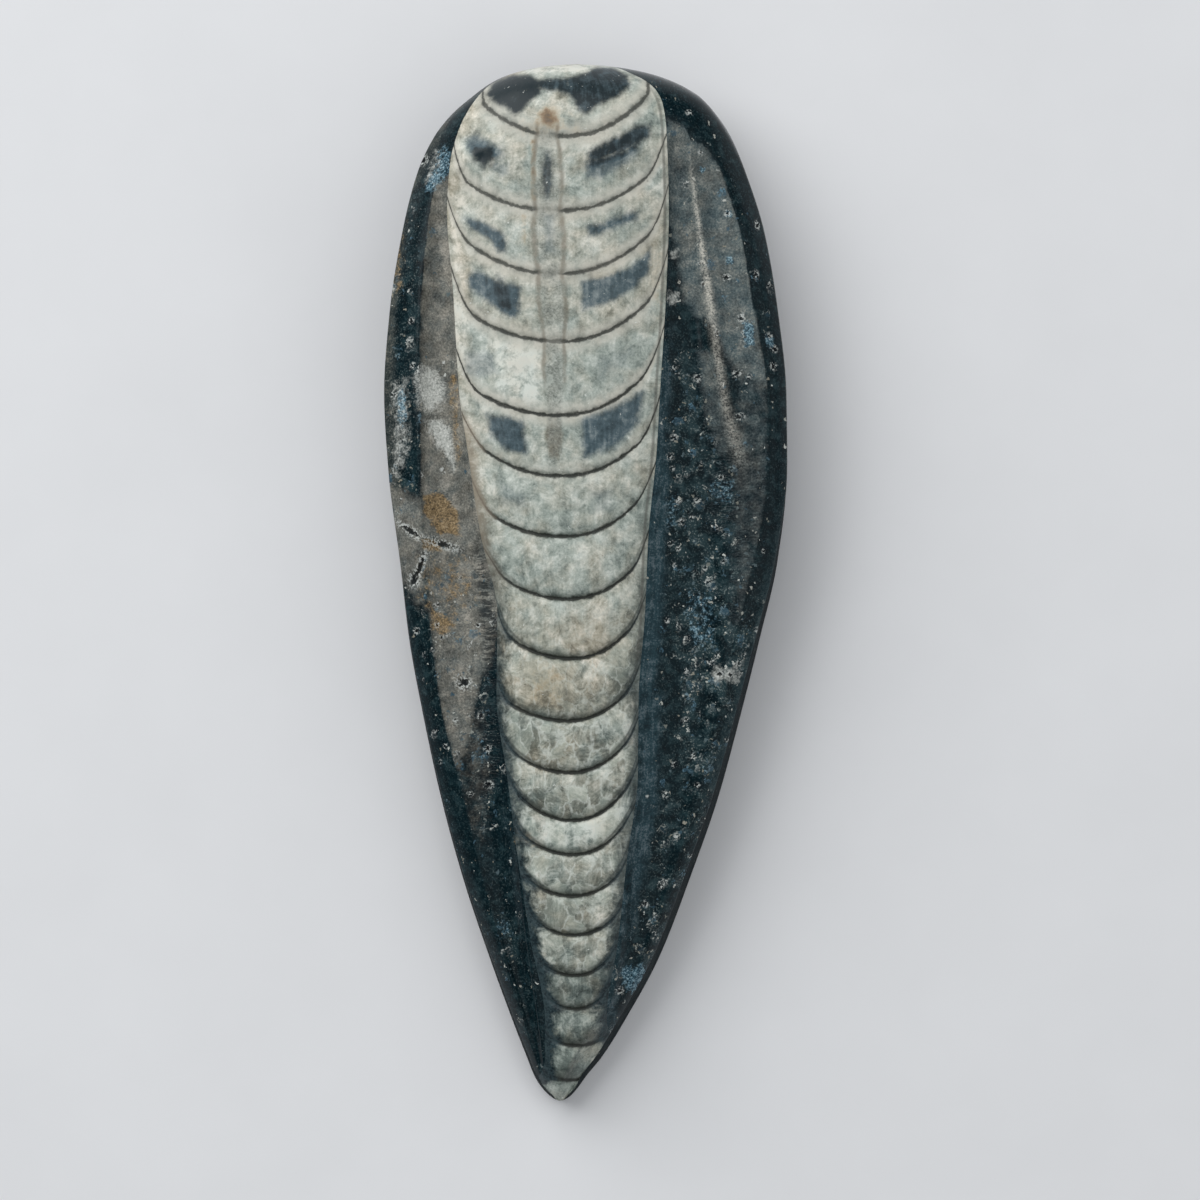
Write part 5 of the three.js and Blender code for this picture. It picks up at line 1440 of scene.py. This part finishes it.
def paint_slate(t, colour, settings):
    """The smooth slate-blue band beside the shell, with fine streaks along it."""
    shell_gap = t.field("shell_gap")
    streaks = t.add("CombineXYZ", {"X": t.math("MULTIPLY", shell_gap, 3.2),
                                   "Y": t.math("MULTIPLY", t.field("along"), 0.22)})
    streak = t.noise(streaks.outputs[0], 1.0, 3.0, 0.65)
    flank = t.times(t.remap(shell_gap, -2.1, -0.3), t.field("flank"))
    band = t.torn(t.math("MAXIMUM", t.field("slate"), flank), grain=0.8, ragged=0.9, softness=0.5)
    tone = t.sway(streak, 0.8, t.sway(t.coarse, 0.9, t.sway(t.fine, 1.2, 0.5)))
    slates = t.ramp(tone, (0.1, SLATE_DARK), (0.5, settings.slate_colour), (0.95, SLATE_PALE))
    return t.coat(colour, band, 0.85, slates)


def paint_specks(t, colour, density, large, ring):
    """Calcite specks: many small ones, and a few large ones with a broken bright ring, partly a painted
    highlight.
    """
    small = t.specks(scale=2.0, size=0.5, bent=0.9, amount=t.math("MULTIPLY_ADD", density, 0.5, 0.08))
    ragged = t.remap(t.sway(t.fine, 2.0, small["Speck"]), 0.35, 0.75)
    colour = t.coat(colour, ragged, 0.85, t.ramp(small["Tint"], *SPECKS))
    colour = t.coat(colour, large["Speck"], 0.55, t.ramp(large["Tint"], *SPECK_HEARTS))
    return t.coat(colour, ring, 0.9, t.ramp(large["Tint"], *SPECK_RING_GLINTS))


def paint_patches(t, colour, rust, chalk, settings):
    """Iron stains, chalky white patches and blue calcite."""
    browns = t.ramp(t.sway(t.fine, 1.6, t.mixed), (0.15, STAIN_DARK), (0.5, STAIN_BROWN),
                    (0.9, settings.rust_colour))
    colour = t.coat(colour, rust, 0.85, browns)
    colour = t.coat(colour, chalk, 0.95, t.ramp(t.sway(t.fine, 0.8, t.mixed), *CHALK))
    blue = t.torn(t.field("blue"), grain=2.0, ragged=2.6, softness=0.25)
    blues = t.ramp(t.sway(t.fine, 1.8, t.mixed), (0.15, BLUE_DARK), (0.48, settings.blue_colour),
                   (0.8, BLUE_PALE))
    return t.coat(colour, blue, 0.82, blues)


def paint_pits(t, colour):
    """Pits, with painted shade inside and a broken pale lip painted as a highlight."""
    flakes = t.noise(t.place, 3.2, 2.0, 0.6)
    pit = t.sway(flakes, 1.9, t.field("pit"))
    broken = t.remap(t.sway(t.fine, 1.0, flakes), 0.48, 0.6)
    lip_glint = t.times(t.remap(pit, 0.6, 1.0), t.remap(pit, 2.4, 1.1), broken)
    colour = t.coat(colour, lip_glint, 0.9, PIT_LIP_GLINT)
    return t.coat(colour, t.remap(pit, 1.0, 0.6), 0.92, PIT_SHADE)


def paint_crest(t, colour):
    """The crest between the two right-hand flutes, painted pale: partly rubbed wear, partly a painted
    highlight along the ridge.
    """
    crest = t.times(t.field("crest"), t.remap(t.fine, 0.38, 0.58, 0.2, 1.0),
                    t.remap(t.coarse, 0.34, 0.56, 0.4, 1.0))
    return t.coat(colour, crest, 0.95, CREST_PALE)


def limestone_material(groups, settings):
    """Black polished limestone, with ground grey-brown flutes, specks, stains and patches."""
    t = StoneTable("black limestone", groups, fine_scale=4.4, coarse_scale=0.8)
    patch = t.field("patch")
    density = t.math("MULTIPLY", t.field("speckle"), t.remap(patch, 0.36, 0.66, 0.12, 1.0))
    dull = t.torn(t.field("dull"), grain=0.5, ragged=1.1, softness=0.4)
    # the ground flutes, whose grey-brown is partly a painted sheen
    satin = t.torn(t.field("satin"), grain=0.9, ragged=1.7, softness=0.4)
    rust = t.torn(t.field("rust"), grain=1.1, ragged=2.2, softness=0.3)
    chalk = t.torn(t.field("chalk"), grain=1.1, ragged=2.0, softness=0.5)
    large = t.specks(scale=0.74, size=0.5, bent=1.6, amount=t.math("MULTIPLY_ADD", density, 0.8, 0.03))
    ring = t.math("MULTIPLY", large["Ring"], t.remap(t.fine, 0.44, 0.56))
    rungs = t.noise(t.stretch(t.bend(t.place, 0.8, 0.5), (0.55, 3.2, 1.0)), 1.0, 2.0, 0.6)
    chatter = t.math("MULTIPLY", t.remap(rungs, 0.44, 0.56), t.field("chatter"))

    colour = black_stone(t, density, settings)
    colour = paint_dull_bevels(t, colour, dull, patch, settings)
    colour = paint_flutes(t, colour, satin, patch, settings)
    colour = paint_slate(t, colour, settings)
    colour = paint_specks(t, colour, density, large, ring)
    colour = paint_patches(t, colour, rust, chalk, settings)
    colour = paint_pits(t, colour)
    colour = paint_crest(t, colour)
    colour = t.coat(colour, chatter, 0.75, CHATTER_DARK)

    ground = t.math("MAXIMUM", satin, dull)
    rough = t.math("MULTIPLY_ADD", t.fine, 0.14, t.math("MULTIPLY_ADD", ground, 0.30, 0.12))
    rough = t.math("MULTIPLY_ADD", t.field("bevel_line"), 0.4, rough)
    rough = t.math("MULTIPLY_ADD", t.math("MAXIMUM", rust, chalk), 0.25, rough)
    height = t.math("MULTIPLY", t.math("MULTIPLY_ADD", ground, 1.1, 0.12), t.fine)
    height = t.math("MULTIPLY_ADD", t.times(satin, t.coarse), 1.0, height)
    for value, weight in ((large["Speck"], -0.7), (ring, 0.6), (chatter, -1.0)):
        height = t.math("MULTIPLY_ADD", value, weight, height)
    return t.finish(colour, rough, height, specular=0.14, bump=0.6, depth=0.09)


def sawn_material(groups, name, dust, saw_scale):
    """Sawn and roughly ground limestone, matt and dusty, with marks of a scale along each axis."""
    t = StoneTable(name, groups, fine_scale=2.6, coarse_scale=0.5)
    marks = t.noise(t.stretch(t.place, saw_scale), 1.0, 3.0, 0.6)
    colour = t.ramp(t.sway(marks, 0.7, t.mixed), *SAWN)
    colour = t.coat(colour, t.specks(scale=1.2, amount=0.35, size=0.24)["Speck"], 0.5, SAWN_SPECK)
    colour = t.coat(colour, t.torn(dust, grain=0.35, ragged=1.0, softness=0.5), 0.5, DUST)
    rough = t.math("MULTIPLY_ADD", t.fine, 0.25, 0.5)
    height = t.math("MULTIPLY_ADD", marks, 1.2, t.mixed)
    return t.finish(colour, rough, height, specular=0.03, bump=0.6, depth=0.16)


# ---------------------------------------------------------------------------------------------
# Settings
# ---------------------------------------------------------------------------------------------

def colour_setting(name, description, red, green, blue):
    return FloatVectorProperty(
        name=name, description=description, default=srgb(red, green, blue), min=0.0, max=1.0,
        size=3, subtype="COLOR",
    )


class FossilShellSettings(bpy.types.PropertyGroup):
    """Depths and colours of the shell"""
    groove: FloatProperty(
        name="Septum grooves", description="Depth of the groove along each septum, of its full depth",
        default=1.0, min=0.0, max=2.0, subtype="FACTOR",
    )
    bulge: FloatProperty(
        name="Chamber swelling", description="How far the chambers swell, of their full height",
        default=1.0, min=0.0, max=2.0, subtype="FACTOR",
    )
    septum_colour: colour_setting("Septa", "The dark lines between chambers", 24, 27, 25)
    shade_colour: colour_setting("Septum shade", "The soft shade beside the septa", 74, 78, 72)
    lining_colour: colour_setting("Lining", "Cream calcite that lines the upper chambers", 198, 195, 183)
    fill_colour: colour_setting("Chamber fill", "Dark calcite inside the upper chambers", 70, 89, 97)
    edge_colour: colour_setting("Shell edge", "The edge of the shell towards the tip", 54, 70, 74)
    rust_colour: colour_setting("Iron stain", "The palest part of the iron stains", 184, 164, 128)


class FossilLimestoneSettings(bpy.types.PropertyGroup):
    """Depths and colours of the limestone round the shell"""
    pits: FloatProperty(
        name="Pits", description="Depth of the open pits and cracks, of their full depth",
        default=1.0, min=0.0, max=2.0, subtype="FACTOR",
    )
    black_colour: colour_setting("Polished black", "Polished limestone", 2, 25, 31)
    # on the left bevel this grey is partly painted light
    dull_colour: colour_setting("Dull bevel", "Ground limestone on the bevels", 54, 62, 60)
    # the flutes' colour is partly a painted sheen
    satin_colour: colour_setting("Ground flutes", "Ground limestone in the flutes", 88, 102, 104)
    slate_colour: colour_setting("Slate band", "The smooth band beside the shell", 42, 69, 77)
    blue_colour: colour_setting("Blue calcite", "Patches of blue-grey calcite", 62, 98, 114)
    rust_colour: colour_setting("Iron stain", "The palest part of the iron stains", 182, 158, 120)


class FossilStageSettings(bpy.types.PropertyGroup):
    """Floor, lights and camera"""
    floor_colour: colour_setting("Floor", "Colour of the floor", 229, 230, 232)
    window_power: FloatProperty(
        name="Window light", description="Power of the large light at the upper left", default=7.8,
        min=0.0, unit="POWER",
    )
    fill_power: FloatProperty(
        name="Fill light", description="Power of the second light", default=6.1, min=0.0, unit="POWER",
    )
    sky: FloatProperty(
        name="Sky", description="Strength of the even light from all round", default=0.22, min=0.0,
    )
    camera_angle: FloatProperty(
        name="Camera height", description="Angle of the camera above the floor",
        default=math.radians(87), min=0.0, max=math.pi / 2, subtype="ANGLE",
    )
    camera_distance: FloatProperty(
        name="Camera distance", description="From the camera to the stone", default=0.509, min=0.1,
        unit="LENGTH",
    )


# ---------------------------------------------------------------------------------------------
# Operators
# ---------------------------------------------------------------------------------------------

class STONE_OT_build(bpy.types.Operator):
    """Build the polished stone with its shell, flutes, bevels and sawn back"""
    bl_idname = "fossil.build_stone"
    bl_label = "Build the fossil stone"

    def execute(self, context):
        shell, limestone = context.scene.fossil_shell, context.scene.fossil_limestone
        form = StoneMesh(shell.groove, shell.bulge)
        face = form.face
        depth, pit = hollow_field(face["x"], face["y"], HOLLOWS + scattered_pits())
        fade = smooth_step(0.0, PIT_FADE, face["rim_gap"])
        face["z"] = face["z"] - limestone.pits * depth * fade
        face["pit"] = pit
        mesh, points = write_mesh(form)
        for name, values in field_values(form).items():
            attribute = mesh.attributes.new(name, "FLOAT", "POINT")
            full = np.full(len(points), PIT_REACH if name == "pit" else 0.0)
            full[:values.size] = values.ravel()
            full[values.size] = values[0, values.shape[1] // 2]
            full[values.size + 1] = values[-1, values.shape[1] // 2]
            attribute.data.foreach_set("value", full)
        centre = (STONE_LOW + STONE_HIGH) / 2
        origin = np.array([centre[0], centre[1], STONE_LOW[2]])
        mesh.vertices.foreach_set("co", (points * UNIT + origin).ravel())
        mesh.validate()
        mesh.update()
        stone = bpy.data.objects.new(PIECE, mesh)
        context.scene.collection.objects.link(stone)
        groups = {"grain": grain_group(), "torn": torn_edge_group(), "speck": speck_group()}
        mesh.materials.append(shell_material(groups, shell))
        mesh.materials.append(limestone_material(groups, limestone))
        mesh.materials.append(sawn_material(groups, "ground side", 0.1, SIDE_SAW_SCALE))
        mesh.materials.append(sawn_material(groups, "sawn back", 0.6, BACK_SAW_SCALE))
        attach(stone, "root")
        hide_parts(STONE_NODE)
        return {"FINISHED"}


def build_floor(scene, settings):
    """A plain pale floor, large enough to fill the view."""
    half = FLOOR_SIZE / 2
    corners = [(-half, -half, 0), (half, -half, 0), (half, half, 0), (-half, half, 0)]
    mesh = bpy.data.meshes.new("floor")
    mesh.from_pydata(corners, [], [(0, 1, 2, 3)])
    floor = bpy.data.objects.new("floor", mesh)
    scene.collection.objects.link(floor)
    t = MaterialTable("pale floor")
    paper = t.noise(t.place_on_stone(), 0.05, 3.0, 0.6)
    darker = tuple(c * 0.97 for c in settings.floor_colour)
    t.feed(t.shader.inputs["Base Color"], t.ramp(paper, (0.3, darker), (0.7, settings.floor_colour)))
    t.shader.inputs["Roughness"].default_value = 0.6
    mesh.materials.append(t.material)


def build_camera(scene, settings):
    """A camera that looks down on the stone, a little from the tip's side."""
    data = bpy.data.cameras.new("camera")
    data.lens = CAMERA_LENS
    data.sensor_width = CAMERA_SENSOR
    data.clip_start = 0.01
    camera = bpy.data.objects.new("camera", data)
    scene.collection.objects.link(camera)
    angle = settings.camera_angle
    away = Vector((0, -math.cos(angle), math.sin(angle))) * settings.camera_distance
    camera.location = CAMERA_TARGET + away
    camera.rotation_euler = (-away).to_track_quat("-Z", "Y").to_euler()
    scene.camera = camera


def build_lights(scene, settings):
    """A large soft window light, a softer fill, and an even sky."""
    for name, energy, size, place in (
        ("window", settings.window_power, WINDOW_SIZE, WINDOW_PLACE),
        ("fill", settings.fill_power, FILL_SIZE, FILL_PLACE),
    ):
        light = bpy.data.lights.new(name, "AREA")
        light.energy = energy
        light.size = size
        lamp = bpy.data.objects.new(name, light)
        lamp.location = place
        lamp.rotation_euler = (-place).to_track_quat("-Z", "Y").to_euler()
        scene.collection.objects.link(lamp)
    world = bpy.data.worlds.new("world")
    world.use_nodes = True
    sky = world.node_tree.nodes["Background"]
    sky.inputs["Color"].default_value = SKY_TINT
    sky.inputs["Strength"].default_value = settings.sky
    scene.world = world


class STONE_OT_stage(bpy.types.Operator):
    """Set the floor, lights and camera"""
    bl_idname = "fossil.build_stage"
    bl_label = "Build the stage"

    def execute(self, context):
        scene = context.scene
        scene.view_settings.view_transform = "Standard"
        build_floor(scene, scene.fossil_stage)
        build_camera(scene, scene.fossil_stage)
        build_lights(scene, scene.fossil_stage)
        return {"FINISHED"}


class STONE_PT_panel(bpy.types.Panel):
    """Sizes, colours and buttons of the fossil"""
    bl_idname = "STONE_PT_panel"
    bl_label = "Orthoceras fossil"
    bl_space_type = "VIEW_3D"
    bl_region_type = "UI"
    bl_category = "Fossil"

    def draw(self, context):
        for operator, settings in (
            (STONE_OT_build, (context.scene.fossil_shell, context.scene.fossil_limestone)),
            (STONE_OT_stage, (context.scene.fossil_stage,)),
        ):
            box = self.layout.box()
            for group in settings:
                for name in group.__annotations__:
                    box.prop(group, name)
            box.operator(operator.bl_idname)


CLASSES = (
    FossilShellSettings, FossilLimestoneSettings, FossilStageSettings, STONE_OT_build, STONE_OT_stage,
    STONE_PT_panel,
)
SETTINGS = {
    "fossil_shell": FossilShellSettings,
    "fossil_limestone": FossilLimestoneSettings,
    "fossil_stage": FossilStageSettings,
}


def register():
    for cls in CLASSES:
        bpy.utils.register_class(cls)
    for name, group in SETTINGS.items():
        setattr(bpy.types.Scene, name, PointerProperty(type=group))


def unregister():
    for name in SETTINGS:
        delattr(bpy.types.Scene, name)
    for cls in reversed(CLASSES):
        bpy.utils.unregister_class(cls)


def main():
    register()
    bpy.ops.fossil.build_stone()
    bpy.ops.fossil.build_stage()


if __name__ == "__main__":
    main()
